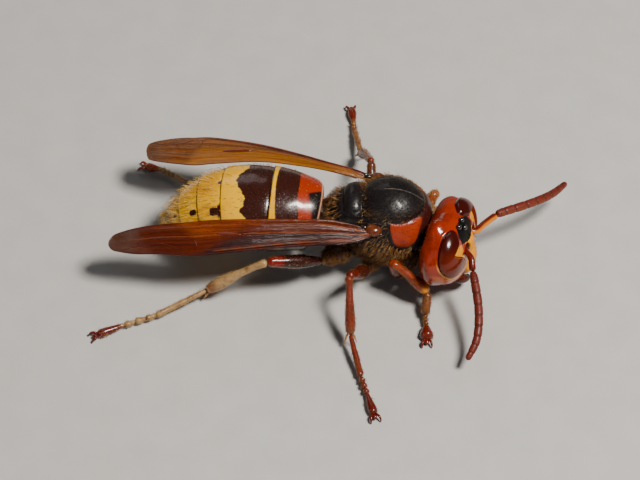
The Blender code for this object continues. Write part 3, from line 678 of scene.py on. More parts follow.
def head_to_drawing(points):
    """From the head's own frame to the drawing."""
    return points @ HEAD_TURN.T + HEAD_MIDDLE


def halved(outside, shape, search, times):
    """The last distance inside and the first one outside a form, found by halving."""
    near, far = np.full(shape, search[0]), np.full(shape, search[1])
    for _ in range(times):
        middle = (near + far) / 2
        past = outside(middle)
        near, far = np.where(past, near, middle), np.where(past, middle, far)
    return near, far


def head_reach(directions):
    """How far the head's shell reaches from its middle in each direction."""
    depth = np.where(directions[..., 0] > 0, HEAD_FRONT, HEAD_BACK)
    power = 2 / HEAD_CORNERS

    def outside(distance):
        x, y, z = (np.abs(directions[..., k]) * distance for k in range(3))
        level = np.clip(z / (HEAD_HEIGHT / 2), 0, 1)
        reach = np.maximum(1 - level**HEAD_ROUNDNESS, TINY) ** (1 / HEAD_ROUNDNESS)
        narrow = 1 - CHIN_NARROWING * np.where(directions[..., 2] < 0, level, 0) ** 1.5
        size = (x / (reach * depth)) ** power + (y / (reach * narrow * HEAD_WIDTH / 2)) ** power
        return (size > 1) | (z > HEAD_HEIGHT / 2)

    near, far = halved(outside, directions.shape[:-1], HEAD_SEARCH, HEAD_HALVINGS)
    return (near + far) / 2


def face_reach(directions):
    """The shell's reach with the face plate and the brow raised on it."""
    reach = head_reach(directions)
    for form in (FACE_SHIELD, BROW):
        raised = mass_reach(np.zeros(3), directions, *form)
        reach = (reach**FACE_FILLET + raised**FACE_FILLET) ** (1 / FACE_FILLET)
    return reach


print("head width", HEAD_WIDTH, "mm")

# %% [markdown]
# A hornet's eye is shaped like a kidney, with a notch beside the feeler. Its outline is drawn on a plane
# of its own that faces forwards and outwards. A point of the head is looked up on that plane, along the
# way the eye bulges.

# %% Eye outline
EYE_MIDDLE = np.array([0.96, 1.99, 1.47])
EYE_FACES = np.array([0.782, 0.455, 0.426])
EYE_BULGES = np.array([0.5, 0.66, 0.56])
EYE_DOWN = np.array([0.206, 0.456, -0.866])
EYE_OUTLINE = rounded_outline([
    (0.15, -1.68), (0.5, -1.58), (0.68, -1.25), (0.7, -0.8), (0.42, -0.42), (-0.05, -0.02), (0.4, 0.32),
    (0.9, 0.62), (1.12, 1.05), (0.95, 1.5), (0.45, 1.85), (-0.2, 1.88), (-0.75, 1.55), (-1.14, 1.05),
    (-1.29, 0.4), (-1.2, -0.25), (-0.95, -0.85), (-0.5, -1.38)])
OTHER_SIDE, NOT_EYE = -1.2, -3.0


def eye_frame(side):
    """The eye's middle and its towards-the-face, down, faces and bulges directions, on one side."""
    flip = np.array([1, side, 1])
    down, faces = EYE_DOWN * flip, EYE_FACES * flip
    towards = unit(np.cross(down, faces)) * side
    middle = EYE_MIDDLE * flip + np.array([0, FACE_MIDDLE, 0])
    return middle, towards, down, faces, EYE_BULGES * flip


def eye_place(points, side):
    """Where points fall on the eye's plane, seen along its bulge: towards the face, down, and height."""
    middle, towards, down, faces, bulges = eye_frame(side)
    from_middle = points - middle
    height = (from_middle @ faces) / (bulges @ faces)
    flat = from_middle - height[..., None] * bulges
    return flat @ towards, flat @ down, height


def eye_distance(points):
    """Millimetres inside the outline of either eye."""
    both = []
    for side in SIDES.values():
        across, down, height = eye_place(points, side)
        both.append(np.where(height > OTHER_SIDE, outline_distance(across, down, EYE_OUTLINE), NOT_EYE))
    return np.maximum(*both)


print("points of the eye's outline:", len(EYE_OUTLINE))

# %% [markdown]
# The head is chestnut with a yellow face, a black patch round the three small eyes, and an orange cheek
# under each big eye. Those markings are outlines drawn on the face, and each is kept as a distance to its
# edge. The near temple is swollen a little, which sets its highlight where the photograph has it.

# %% Head surface
HEAD_GRID = (260, 330)
HEAD_SWELLS = (0.012, 0.6)
SHIELD_OUTLINE = [(-1, 0.02), (0.55, 0.02), (0.95, -0.35), (1.25, -1.2), (1.1, -2.0), (0.6, -2.6), (-1, -2.6)]
PATCH_OUTLINE = [(-1, 2.66), (0.43, 2.66), (0.72, 2.5), (1.04, 2.26), (1.16, 1.67), (0.8, 1.5), (0.5, 1.28),
                 (-1, 1.22)]
INNER_OUTLINE = [(1.25, 1.8), (1.7, 1.85), (2.5, 1.65), (2.3, 1.25), (1.8, 0.95), (1.35, 1.2)]
BROW_OUTLINE = [(-1, 1.28), (0.4, 1.28), (0.7, 1.5), (0.92, 1.42), (0.72, 1.15), (0.55, 0.6), (0.7, 0.1),
                (-1, 0.1)]
FEELER_SOCKET = (0.84, 0.98)
TEMPLE = (-0.6, 0.85, 2.75), (0.7, 0.9, 0.9)
TEMPLE_SWELL, SOCKET_SINK, CHEEK_SWELL = 0.45, 0.32, 0.32


def head_relief(own, face_y, eye, shield, socket):
    """How far the head's skin is lifted off its form."""
    x, y, z = own[..., 0], np.abs(face_y), own[..., 2]
    front = smoothstep(x, 0.4, 0.9)
    behind = 1 - smoothstep(x, -0.75, 0.55)
    # The eye sockets with their raised rims, the full cheeks behind them, and the near temple.
    lift = -SOCKET_SINK * smoothstep(eye, -0.04, 0.08) + 0.03 * bell(eye + 0.1, 0.07)
    lift += CHEEK_SWELL * smoothstep(y, 1.2, 2.5) * behind * smoothstep(-np.abs(z), -2.6, -1.2)
    temple = sum(((spot - middle) / half) ** 2 for spot, middle, half in zip((x, y, z), *TEMPLE))
    lift += TEMPLE_SWELL * np.exp(-temple) * smoothstep(-face_y, 0.0, 0.6)
    # The groove round the face plate, the feelers' pits with their rims, and the furrow of the forehead.
    lift -= 0.09 * bell(shield, 0.07) * front
    lift -= 0.16 * smoothstep(0.36 - socket, -0.05, 0.1) * front
    lift += 0.05 * bell(socket - 0.42, 0.07) * front
    lift -= 0.05 * bell(y, 0.05) * smoothstep(z, 0.9, 1.3) * smoothstep(-z, -2.1, -1.8) * front
    return lift + HEAD_SWELLS[0] * waver(own, HEAD_SWELLS[1])


def head_skin(rows, columns):
    """The head's rings in its own frame, and the distances to its markings."""
    directions = sphere_directions(rows, columns, POLE_GAP)
    own = directions * face_reach(directions)[..., None]
    face_y = own[..., 1] - FACE_MIDDLE
    x, y, z = own[..., 0], np.abs(face_y), own[..., 2]
    eye = eye_distance(own)
    shield, patch, inner, brow = (outline_distance(y, z, outline) for outline in (
        SHIELD_OUTLINE, PATCH_OUTLINE, INNER_OUTLINE, BROW_OUTLINE))
    socket = np.hypot(y - FEELER_SOCKET[0], z - FEELER_SOCKET[1])
    lift = head_relief(own, face_y, eye, shield, socket)
    black = np.where(x > 0.6, patch, NO_MARKING)
    yellow = np.where(x > 0.3, np.maximum.reduce([inner, brow, shield]), NO_MARKING)
    return own + directions * lift[..., None], {
        "black_patch": black, "yellow_face": yellow, "cheek": np.minimum(eye + 0.7, 0.35 - z),
        "socket_dark": np.where(x > 0.4, 0.4 - socket, NO_MARKING),
        "orbit_rim": 0.06 - np.abs(eye + 0.12) - 0.08 * np.maximum(z - 0.9, 0),
        "eye_groove": 0.06 - np.abs(eye - 0.03),
        "matt": np.maximum.reduce([black, yellow, -z - 1.0, np.minimum(face_y - 0.5, 0.3 - x)])}


head_rings, head_values = head_skin(*HEAD_GRID)
print("head surface", head_rings.shape)

# %% [markdown]
# The paint goes on in order: the cheek first, then the rim round the eye, the yellow face and the black
# patch, and last the dark feeler sockets and the groove round each eye. The face, the patch, the underside
# and the far side behind the eye are dull, the rest is polished.

# %% Head piece
HEAD_MARKINGS = (("cheek", (0.46, 0.08, 0.003), 0.2), ("orbit_rim", (0.75, 0.27, 0.02), 0.03),
                 ("yellow_face", (0.70, 0.26, 0.0005), 0.04), ("black_patch", (0.002, 0.0015, 0.0015), 0.04),
                 ("socket_dark", (0.06, 0.006, 0.003), 0.08), ("eye_groove", (0.03, 0.004, 0.002), 0.03))
head_finish = plate_material("head_chitin", CHESTNUT, (0.12, 0.007, 0.001), gloss=0.2, mottle=2.2, pit=0.16,
                             pit_depth=0.25, relief=0.02, coat=0.75, specular=0.15, sheen=0.06,
                             dull_edge="matt", markings=HEAD_MARKINGS)
skin_piece("head_shell", head_to_drawing(head_rings), head_finish, ["head"], head_values)
print("markings on the head:", len(HEAD_MARKINGS))

# %% [markdown]
# A compound eye is a swollen lens of thousands of facets. Each eye is its own dome: a fan of rings that
# grows from a point inside the outline, lifted off the head in the middle and tucked into the socket at
# its rim. The facets are far finer than a pixel, so they are relief in the material.

# %% Eyes
EYE_SWELL, EYE_TUCK, EYE_FLATTEST = 0.34, 0.3, 0.02
EYE_DOME = (1.65, 2.3)
EYE_TOP = (-0.1, 0.1)
EYE_HEART = np.array([-0.32, 0.35])
EYE_SPREAD = (0.02, 1.04)
TURNED_IN, TURNED_IN_DEPTHS = [1.0, 0.7, 0.3], [0.55, 0.7, 0.8]
EYE_SEARCH, EYE_HALVINGS = (-1.5, 3.0), 30


def eye_rings(side, rows=56, columns=132):
    """An eye's rings: over the dome from its top to its rim, and back underneath."""
    place = np.linspace(0, len(EYE_OUTLINE), columns, endpoint=False)
    before = place.astype(int)
    after = (before + 1) % len(EYE_OUTLINE)
    outline = EYE_OUTLINE[before] + (EYE_OUTLINE[after] - EYE_OUTLINE[before]) * (place - before)[:, None]
    middle, towards, down, _, bulges = eye_frame(side)
    share = np.linspace(*EYE_SPREAD, rows)
    flat = EYE_HEART + (outline - EYE_HEART) * np.concatenate([share, TURNED_IN])[:, None, None]
    rings = middle + flat[..., :1] * towards + flat[..., 1:] * down

    def outside(height):
        spots = rings + height[..., None] * bulges
        return np.linalg.norm(spots, axis=-1) > head_reach(unit(spots))

    shell, _ = halved(outside, rings.shape[:2], EYE_SEARCH, EYE_HALVINGS)
    across, along, _ = eye_place(rings, side)
    from_top = sum(((at - top) / half) ** 2 for at, top, half in zip((across, along), EYE_TOP, EYE_DOME))
    height = EYE_SWELL * np.sqrt(np.maximum(1 - from_top, EYE_FLATTEST))
    tuck = np.concatenate([EYE_TUCK * smoothstep(share, 0.94, 1.04), TURNED_IN_DEPTHS])
    return rings + (shell + height - tuck[:, None])[..., None] * bulges


eye_finish, eye_tree, eye_shader = new_material("eye_lens", Coat_Weight=0.36, Coat_Roughness=0.04,
                                                Roughness=0.2, Specular_IOR_Level=0.15)
facets = add_node(eye_tree, "ShaderNodeTexVoronoi", Vector=place_of(eye_tree), Scale=24000.0)
cloud = add_node(eye_tree, "ShaderNodeTexNoise", Vector=place_of(eye_tree), Scale=500.0)
deepening = ramp_value(eye_tree, cloud.outputs["Fac"], 0.35, 0.7)
brown = blend_colours(eye_tree, deepening, (0.115, 0.012, 0.003, 1), (0.08, 0.008, 0.002, 1))
# The lower part of each eye is a lighter red-brown, a painted sheen, which fades upwards into the dark top.
sheen_fade_upwards = ramp_value(eye_tree, stored(eye_tree, "upper_part"), -0.5, 0.9)
eye_tree.links.new(blend_colours(eye_tree, sheen_fade_upwards, brown, (0.035, 0.0028, 0.0015, 1)),
                   eye_shader.inputs["Base Color"])
bump(eye_tree, eye_shader, facets.outputs["Distance"], 0.002)
for word, side in SIDES.items():
    own = eye_rings(side)
    skin_piece(f"eye_dome_{word}", head_to_drawing(own), eye_finish, [f"eye_{word}"],
               {"upper_part": -eye_place(own, side)[1]})

SMALL_EYES = [(1.36, 0, 2.18), (1.04, 0.33, 2.5), (1.04, -0.33, 2.5)]
SMALL_EYE_RADIUS, SMALL_EYE_RISE = 0.23, 1.02
small_eye_finish, _, _ = new_material("small_eye_lens", Roughness=0.11, Coat_Weight=1.0, Coat_Roughness=0.11,
                                      Base_Color=(0.005, 0.003, 0.003, 1))
for number, spot in enumerate(SMALL_EYES):
    way = unit(np.array(spot) + [0, FACE_MIDDLE, 0])
    surface = way * head_reach(way[None])[0] * SMALL_EYE_RISE
    rings = head_to_drawing(sphere_directions(20, 28, DOME_GAP) * SMALL_EYE_RADIUS + surface)
    skin_piece(f"small_eye_{number}", rings, small_eye_finish)
print("eyes made:", len(SIDES) + len(SMALL_EYES))

# %% [markdown]
# Jaws, feelers and legs are all tapering tubes of hard skin with joints. One function sweeps such a tube
# along a smooth curve. Each ring is an oval that knows which way is up, so that colours may differ above
# and below.

# %% Swept tubes
UP = np.array([0.0, 0.0, 1.0])
CLOSED_END = 0.0004


def hermite(f, a, b, slope_a, slope_b):
    """A smooth curve from a to b that leaves and arrives with these slopes."""
    return ((2 * f**3 - 3 * f**2 + 1) * a + (f**3 - 2 * f**2 + f) * slope_a
            + (3 * f**2 - 2 * f**3) * b + (f**3 - f**2) * slope_b)


def eased(values, at):
    """A smooth curve through evenly spaced values, read at several places from 0 to 1."""
    values = np.asarray(values, float)
    flat = values.reshape(len(values), -1)
    slopes = np.gradient(flat, axis=0)
    place = np.clip(np.asarray(at, float), 0, 1) * (len(flat) - 1)
    k = np.minimum(place.astype(int), len(flat) - 2)
    curve = hermite((place - k)[..., None], flat[k], flat[k + 1], slopes[k], slopes[k + 1])
    return curve.reshape(np.shape(at) + values.shape[1:])


def around_ring(values, rings):
    """One value for each ring, repeated for all its points."""
    return np.repeat(values[:, None], rings.shape[1], 1)


def tube_rings(path, radii, columns=28, height=1.0):
    """Rings round a path. Height is how tall each oval is for its width."""
    path, radii = np.asarray(path, float), np.asarray(radii, float)
    ahead = unit(np.gradient(path, axis=0))
    aside = unit(np.cross(ahead, UP))
    upwards = np.cross(aside, ahead)
    angle = np.linspace(0, 2 * math.pi, columns, endpoint=False)
    across = np.cos(angle)[None, :, None] * aside[:, None]
    up = np.sin(angle)[None, :, None] * upwards[:, None] * height
    return path[:, None] + (across + up) * radii[:, None, None]


def limb_rings(points, radii, rows=60, height=1.0):
    """A tube through points with evenly spread radii, rounded off at both ends."""
    share = (1 - np.cos(np.linspace(0, math.pi, rows))) / 2
    path = eased(points, share)
    length = np.concatenate([[0], np.cumsum(np.linalg.norm(np.diff(path, axis=0), axis=1))])
    wide = eased(radii, share)
    for gone in (length / wide[0], (length[-1] - length) / wide[-1]):
        close = np.clip(gone, 0, 1)
        wide = wide * np.sqrt(np.maximum(1 - (1 - close) ** 2, CLOSED_END))
    return tube_rings(path, wide, height=height), share


print("tube helpers ready")

# %% [markdown]
# The jaws close below the face: stout, red-brown deepened almost to black as painted shade from the head
# above, and black at the cutting edge.

# %% Jaws
MANDIBLE = [(0.8, 1.45, -2.05), (1.15, 1.25, -2.5), (1.45, 0.85, -2.85), (1.58, 0.38, -3.05)]
MANDIBLE_RADII = [0.42, 0.43, 0.35, 0.17]
CUTTING_EDGE, MANDIBLE_LENGTH = 0.66, 2.2


def on_face(points, side):
    """Points of the head's own frame, counted outwards from the middle of the face, in the drawing."""
    given = np.asarray(points, float)
    return head_to_drawing(np.stack([given[..., 0], FACE_MIDDLE + given[..., 1] * side, given[..., 2]], -1))


# Red-brown chitin deepened almost to black: painted shade under the head.
jaw_shaded_finish = plate_material("jaw_chitin_painted_shade", (0.09, 0.008, 0.002), (0.03, 0.004, 0.002), gloss=0.2, mottle=1.6,
                            markings=(("cutting_edge", DEEP_BLACK, 0.12),))
for word, side in SIDES.items():
    rings, share = limb_rings(on_face(MANDIBLE, side), MANDIBLE_RADII, height=0.8)
    skin_piece(f"jaw_{word}", rings, jaw_shaded_finish, [f"mandible_{word}"],
               {"cutting_edge": around_ring((share - CUTTING_EDGE) * MANDIBLE_LENGTH, rings)})
print("jaws made")

# %% [markdown]
# A feeler has a stiff first joint, a small elbow, and a lash of short rings, each a little wider at its
# far end. The underside is paler, most of all on the first joint.

# %% Feelers
SOCKET, KNOB_RADIUS = (1.4, 0.84, 1.0), 0.26
SCAPE_PATHS = {
    "right": [(6.22, -4.02, 4.98), (6.33, -4.5, 4.72), (6.36, -4.91, 4.4)],
    "left": [(6.65, -1.6, 5.1), (7.4, -0.78, 5.05), (8.27, 0.06, 5.0)],
}
LASH_PATHS = {
    "right": [(6.36, -4.91, 4.4), (6.5, -5.61, 4.15), (6.76, -7.7, 3.3), (6.6, -9.64, 2.4),
              (5.87, -11.01, 1.6)],
    "left": [(8.27, 0.06, 5.0), (8.75, 0.38, 4.95), (10.92, 1.73, 4.4), (12.6, 3.22, 3.7),
             (13.84, 4.87, 3.1)],
}
SCAPE_RADII = [0.17, 0.24, 0.26, 0.27]
LASH_RADII = [0.2, 0.31, 0.34, 0.335, 0.33, 0.30, 0.22]
LASH_RINGS, ROWS_IN_RING = 11, 24
GROOVE_DEPTH, RING_TAPER = 0.10, 0.05
PALE_SIDES = {"left": ((0.3, -0.85, -0.4), 0.15), "right": ((0.9, 0.3, -0.3), 0.7)}
SCAPE_RADIUS, LASH_BORDER = 0.25, 0.12
scape_finish = plate_material("scape_chitin", (0.10, 0.007, 0.002), (0.05, 0.004, 0.002), gloss=0.2,
                              mottle=0.9, pit=0.08, markings=(("pale_under", (0.62, 0.17, 0.004), 0.1),))
lash_finish = plate_material("lash_chitin", (0.12, 0.013, 0.005), (0.06, 0.007, 0.003), gloss=0.45,
                             mottle=0.5, pit=0.05, pit_depth=0.8, relief=0.02, coat=0.05,
                             markings=(("pale_under", (0.20, 0.035, 0.008), 0.2),
                                       ("ring_line", (0.06, 0.007, 0.003), 0.04)))


def pale_side(rings, word):
    """Positive on the paler side of a feeler, in millimetres from where the pale colour starts."""
    facing, border = PALE_SIDES[word]
    return (unit(rings - rings.mean(1, keepdims=True)) @ np.array(facing) - border) * SCAPE_RADIUS


def lash_rings(path):
    """A lash's rings, and the distance to the dark line at each joint."""
    share = np.linspace(0, 1, ROWS_IN_RING * LASH_RINGS + 1)
    within = (share * LASH_RINGS) % 1
    # A groove at each joint, rings that widen forwards, and both ends rounded off.
    groove = bell(within, 0.09) + bell(within - 1, 0.09)
    wide = eased(LASH_RADII, share) * (1 - RING_TAPER + RING_TAPER * within) * (1 - GROOVE_DEPTH * groove)
    ends = np.minimum(share * LASH_RINGS * 4, (1 - share) * LASH_RINGS * 2.5)
    wide *= np.sqrt(np.clip(1 - (1 - np.clip(ends, 0, 1)) ** 2, 0.01, 1))
    rings = tube_rings(eased(path, share), wide)
    return rings, around_ring((groove - 0.55) * 0.08, rings)


for word, side in SIDES.items():
    socket = on_face([SOCKET], side)[0]
    knob = sphere_directions(20, 24, DOME_GAP) * KNOB_RADIUS + socket
    skin_piece(f"socket_knob_{word}", knob, scape_finish)
    rings, _ = limb_rings([socket, *SCAPE_PATHS[word]], SCAPE_RADII)
    skin_piece(f"scape_{word}", rings, scape_finish, [f"antenna_scape_{word}"],
               {"pale_under": pale_side(rings, word)})
    rings, lines = lash_rings(LASH_PATHS[word])
    skin_piece(f"lash_{word}", rings, lash_finish, [f"antenna_flagellum_{word}"],
               {"pale_under": pale_side(rings, word) - LASH_BORDER, "ring_line": lines})
print("feelers made")

# %% [markdown]
# The abdomen is six rings that slide into one another like a telescope. Each one is a closed shell: its
# front edge runs in under the ring before it, and its rear edge rolls in as a lip. A step along each flank
# parts the upper plate from the belly plate.

# %% Abdomen form
ABDOMEN_AXIS = np.array([(-4.85, 0.36, 4.2), (-8.6, 0.75, 5.5), (-13.4, 1.4, 4.7), (-16.6, 1.2, 2.0)])
ABDOMEN_STATIONS = np.array([
    (0.0, 2.3, 2.4), (0.04, 2.62, 2.7), (0.15, 3.05, 2.96), (0.3, 3.4, 3.02), (0.45, 3.5, 2.98),
    (0.6, 3.3, 2.8), (0.75, 2.55, 2.25), (0.86, 1.78, 1.6), (0.94, 1.05, 1.0), (1.0, 0.3, 0.3)])
BELLY_FLATNESS = 0.88
AXIS_STEP = 0.01
FIRST_FRONT = [(0.004, -2.2), (0.001, -1.2), (0.0, -0.6), (0.004, -0.28)]
TUCKED_FRONT = [(-0.022, -0.5), (-0.02, -0.22), (-0.012, -0.12)]
ROLLED_REAR = [(0.0025, 0.05), (0.0035, 0.0), (0.002, -0.08), (-0.012, -0.16), (-0.014, -0.45)]
FRONT_DIP = {True: 0.16, False: 0.05}
FLANK_DEGREES = 118


def axis_point(t):
    """Points of the abdomen's axis."""
    t = np.asarray(t, float)[..., None]
    a, b, c, d = ABDOMEN_AXIS
    return a * (1 - t) ** 3 + b * 3 * t * (1 - t) ** 2 + c * 3 * t**2 * (1 - t) + d * t**3


def station_sizes(t):
    """The abdomen's half width and half height."""
    keys, sizes = ABDOMEN_STATIONS[:, 0], ABDOMEN_STATIONS[:, 1:]
    slopes = np.gradient(sizes, keys, axis=0)
    k = np.clip(np.searchsorted(keys, t, side="right") - 1, 0, len(keys) - 2)
    span = (keys[k + 1] - keys[k])[:, None]
    f = np.clip((t - keys[k])[:, None] / span, 0, 1)
    return hermite(f, sizes[k], sizes[k + 1], slopes[k] * span, slopes[k + 1] * span)


def abdomen_rings(t, lift, columns):
    """Rings across the abdomen's axis at several places, raised off its plain surface."""
    ahead = unit(axis_point(np.minimum(t + AXIS_STEP, 1)) - axis_point(np.maximum(t - AXIS_STEP, 0)))
    left = unit(np.cross(ahead, UP))
    up = np.cross(left, ahead)
    width, height = station_sizes(t).T
    angle = np.linspace(0, 2 * math.pi, columns, endpoint=False)
    tall = np.where(np.sin(angle) > 0, 1.0, BELLY_FLATNESS)[None, :] * height[:, None]
    side_way = left[:, None] * ((width[:, None] + lift) * np.cos(angle))[..., None]
    up_way = up[:, None] * ((tall + lift) * np.sin(angle))[..., None]
    return axis_point(t)[:, None] + side_way + up_way


def segment_skin(start, end, rows, columns, first=False, last=False):
    """One ring of the abdomen with its tucked front and its rolled rear lip, and where its points lie."""
    # The ring rises backwards, so that it overlaps the next one. Its front dips under the one before it.
    f = np.linspace(0, 1, rows)
    body_lift = -0.03 + 0.10 * f - FRONT_DIP[first] * bell(f, 0.05)
    front = FIRST_FRONT if first else TUCKED_FRONT
    rear = [] if last else ROLLED_REAR
    t = np.concatenate([[start + step for step, _ in front], np.linspace(start, end, rows),
                        [end + step for step, _ in rear]])
    lift = np.concatenate([[raised for _, raised in front], body_lift, [raised for _, raised in rear]])
    degrees = np.degrees(np.linspace(0, 2 * math.pi, columns, endpoint=False))
    degrees = np.where(degrees > 270, degrees - 360, degrees)
    # The belly plate lies a step lower than the upper one.
    below = np.abs(degrees - 90) - FLANK_DEGREES
    flank = -0.09 * smoothstep(below, -1.0, 3.0) - 0.05 * bell(below - 2.0, 3.0)
    rings = abdomen_rings(t, lift[:, None] + flank[None, :], columns)
    return rings, *np.meshgrid(t, degrees, indexing="ij")


print("abdomen form ready")

# %% [markdown]
# Each yellow ring has dark brown markings at its front: broad on the first two rings, then a pair of spots
# joined to the seam. A marking is drawn by how far along the abdomen it lies, from 0 to 1, and by degrees
# round it from the middle of the back. The front of the first ring is red, with a black wedge over it, partly
# the ring's own black and partly painted shade on its front face, and a pale rim, which is a painted
# highlight along its front edge. The last rings are darkened by painted shade among their bristles, and the
# belly of the first two rings is dark, partly in its own colour and partly in painted shade.

# %% Abdomen markings
SEGMENT_BORDERS = [0.0, 0.305, 0.55, 0.68, 0.805, 0.89, 1.0]
ABDOMEN_LENGTH = 12.9
BACK_MIDDLE = 86.0
RING_DEGREE = 0.055
SECOND_BAND_EDGE = (
    [0, 7, 17, 24, 30, 37, 42, 46, 50, 54, 90],
    [0.478, 0.472, 0.45, 0.433, 0.43, 0.436, 0.452, 0.452, 0.432, 0.415, 0.40])
SPOT_ROWS = ((0.590, 2.3, 0.31), (0.715, 2.1, 0.28), (0.84, 1.7, 0.17))
NECK_ROW, NECK_SIZE, NECK_WIDENING = 0.562, 0.13, 0.25
MIDDLE_SPOT = 0.16
SEAM_LINE, SEAM_LINE_SHIFT = 0.035, 0.003
RED_END, TAIL_START, BELLY_END, BELLY_START = 0.20, 0.875, 0.5, 104


def squared(size, across, along):
    """Millimetres inside a small square with rounded corners."""
    return size - (np.abs(across) ** 3 + np.abs(along) ** 3) ** (1 / 3)


def abdomen_markings(t, degrees):
    """Distances in millimetres to the edges of the abdomen's markings."""
    from_back = np.abs(degrees - BACK_MIDDLE)
    across, reach = from_back * RING_DEGREE, ABDOMEN_LENGTH
    # The first two bands. The rear edge of the second one is jagged and has a point in the middle.
    jagged = 0.003 * np.sin(degrees * 0.6) + 0.002 * np.sin(degrees * 1.3 + 1)
    first = np.minimum(t - 0.172 + 0.02 * smoothstep(from_back, 25, 50),
                       0.284 - 0.012 * (from_back / 45) ** 2 - t)
    second = np.minimum(np.interp(from_back, *SECOND_BAND_EDGE) + jagged - t, t - 0.30)
    # Paired spots, the neck that joins the first pair to its seam, the small middle spot, and dark seams.
    spots = [squared(size, (t - row) * reach, across - aside) for row, aside, size in SPOT_ROWS]
    spots.append(squared(NECK_SIZE, (t - NECK_ROW) * reach, (across - SPOT_ROWS[0][1]) * NECK_WIDENING))
    spots.append(MIDDLE_SPOT - np.hypot((t - NECK_ROW) * reach, across))
    lines = [SEAM_LINE - np.abs(t - border - SEAM_LINE_SHIFT) * reach for border in SEGMENT_BORDERS[2:6]]
    # The black wedge on the red front, partly its own black and partly painted shade; its pale rim, a painted
    # highlight; the dark belly, partly its own colour and partly painted shade; and the tail's painted shade.
    off_wedge = degrees - 97
    wedge = (0.125 - 0.0011 * np.maximum(off_wedge, 0) + 0.006 * np.minimum(off_wedge, 0) - t) * reach
    rim = 0.05 - np.abs(t - 0.052 + 0.0001 * np.clip(degrees - 95, 0, 60)) * reach
    belly = np.minimum((from_back - BELLY_START) * RING_DEGREE, (BELLY_END - t) * reach)
    dark = np.maximum.reduce([first * reach, second * reach, *spots, *lines])
    return {"dark_band": dark, "black_wedge_and_shade": wedge, "front_rim": rim, "red_front": (RED_END - t) * reach,
            "belly": belly, "tail_painted_shade": (t - TAIL_START) * reach}


print("abdomen markings ready")

# %% [markdown]
# Six rings are cut from that form and painted, with more rows of points on the longer ones. A waist and a
# neck, both short tubes in the thorax's own finish, join the three body parts.

# %% Abdomen pieces
DARK_BAND = (0.030, 0.006, 0.003)
# The red front and the dark bands are the rings' own colours. The pale rim is a painted highlight, the tail's
# darkening is painted shade, and the wedge and the belly are partly their own dark colour and partly painted
# shade.
ABDOMEN_PAINTS = (("red_front", (0.27, 0.020, 0.002), 0.35), ("dark_band", DARK_BAND, 0.04),
                  ("black_wedge_and_shade", BLACK, 0.16), ("front_rim", (0.55, 0.25, 0.14), 0.05),
                  ("tail_painted_shade", (0.20, 0.06, 0.003), 1.4), ("belly", DARK_BAND, 0.3))
FIRST_RING_START = 0.042
ROWS_ALONG, LEAST_ROWS, ABDOMEN_COLUMNS, ABDOMEN_SWELLS = 230, 24, 200, 0.7
WAIST_PATH, WAIST_RADII = [(-3.3, 0.3, 4.1), (-4.6, 0.34, 4.1), (-5.6, 0.4, 4.2)], [0.75, 0.62, 0.85]
NECK_PATH, NECK_RADII = np.array([(-0.6, 0, 0.1), (-1.3, 0.05, 0.12), (-2.2, 0.15, 0.15)]), [1.0, 0.85, 0.9]
abdomen_finish = plate_material("banded_chitin", (0.80, 0.42, 0.001), (0.62, 0.27, 0.002), gloss=0.26,
                                mottle=2.5, pit=0.14, pit_depth=0.5, relief=0.02, coat=0.35,
                                markings=ABDOMEN_PAINTS)
abdomen_surfaces = []
borders = list(zip(SEGMENT_BORDERS, SEGMENT_BORDERS[1:]))
for number, (start, end) in enumerate(borders, 1):
    start = FIRST_RING_START if number == 1 else start
    rows = max(LEAST_ROWS, round((end - start) * ROWS_ALONG))
    rings, t, degrees = segment_skin(start, end, rows, ABDOMEN_COLUMNS, number == 1, number == len(borders))
    rings = uneven(rings, ABDOMEN_SWELLS)
    markings = abdomen_markings(t, degrees)
    abdomen_surfaces.append((rings, t, markings["dark_band"]))
    skin_piece(f"abdomen_ring_{number}", rings, abdomen_finish, [f"abdomen_{number}"],
               markings)
waist, _ = limb_rings(WAIST_PATH, WAIST_RADII, height=0.9)
skin_piece("waist", waist, thorax_finish)
neck, _ = limb_rings(head_to_drawing(NECK_PATH), NECK_RADII)
skin_piece("neck", neck, thorax_finish)
print("abdomen made:", len(abdomen_surfaces), "rings")

# %% [markdown]
# At rest a hornet folds its forewings lengthwise, so each is a narrow pleated blade with the hindwing
# close below it. The membrane is a few hundredths of a millimetre thick and tinted amber, and hollow veins
# stiffen it. The blade is a closed sheet with shallow pleats, and every vein is a thin tube laid on it.

# %% Wing surface
FOREWING_STATIONS = {
    "right": [
        (-1.1, -2.45, 6.3, -3.0, 6.25), (-2.3, -2.3, 6.6, -3.6, 6.25), (-4.15, -2.12, 7.0, -3.85, 6.3),
        (-6.4, -2.1, 7.1, -3.9, 6.2), (-10.05, -2.08, 7.05, -4.22, 6.05), (-12.9, -1.92, 6.75, -4.35, 5.75),
        (-14.5, -1.82, 6.4, -4.24, 5.5), (-16.7, -1.53, 5.8, -3.85, 5.2), (-18.5, -1.45, 5.3, -3.6, 4.9),
        (-19.8, -1.62, 4.95, -3.3, 4.8), (-20.6, -1.95, 4.8, -3.0, 4.75)],
    "left": [
        (-1.1, 2.3, 6.3, 2.85, 6.25), (-2.3, 2.4, 6.6, 3.3, 6.45), (-4.15, 2.85, 6.75, 4.0, 6.45),
        (-6.4, 3.6, 6.5, 5.1, 6.2), (-9.4, 4.15, 6.35, 6.27, 6.0), (-12.7, 4.2, 6.1, 7.12, 5.8),
        (-14.3, 4.3, 5.8, 7.35, 5.6), (-15.8, 4.8, 5.4, 7.55, 5.3), (-17.0, 5.25, 5.1, 7.6, 5.0),
        (-17.7, 5.6, 4.9, 7.5, 4.85), (-18.1, 5.9, 4.8, 7.3, 4.8)],
}
PLEATS, PLEAT_DEPTH = 3, 0.035
MEMBRANE = 0.045
TIP_ROUNDING, TIP_POWER = 0.07, 2.4
CAMBER, FRONT_DROP, FRONT_WIDTH = 0.12, 0.10, 0.06


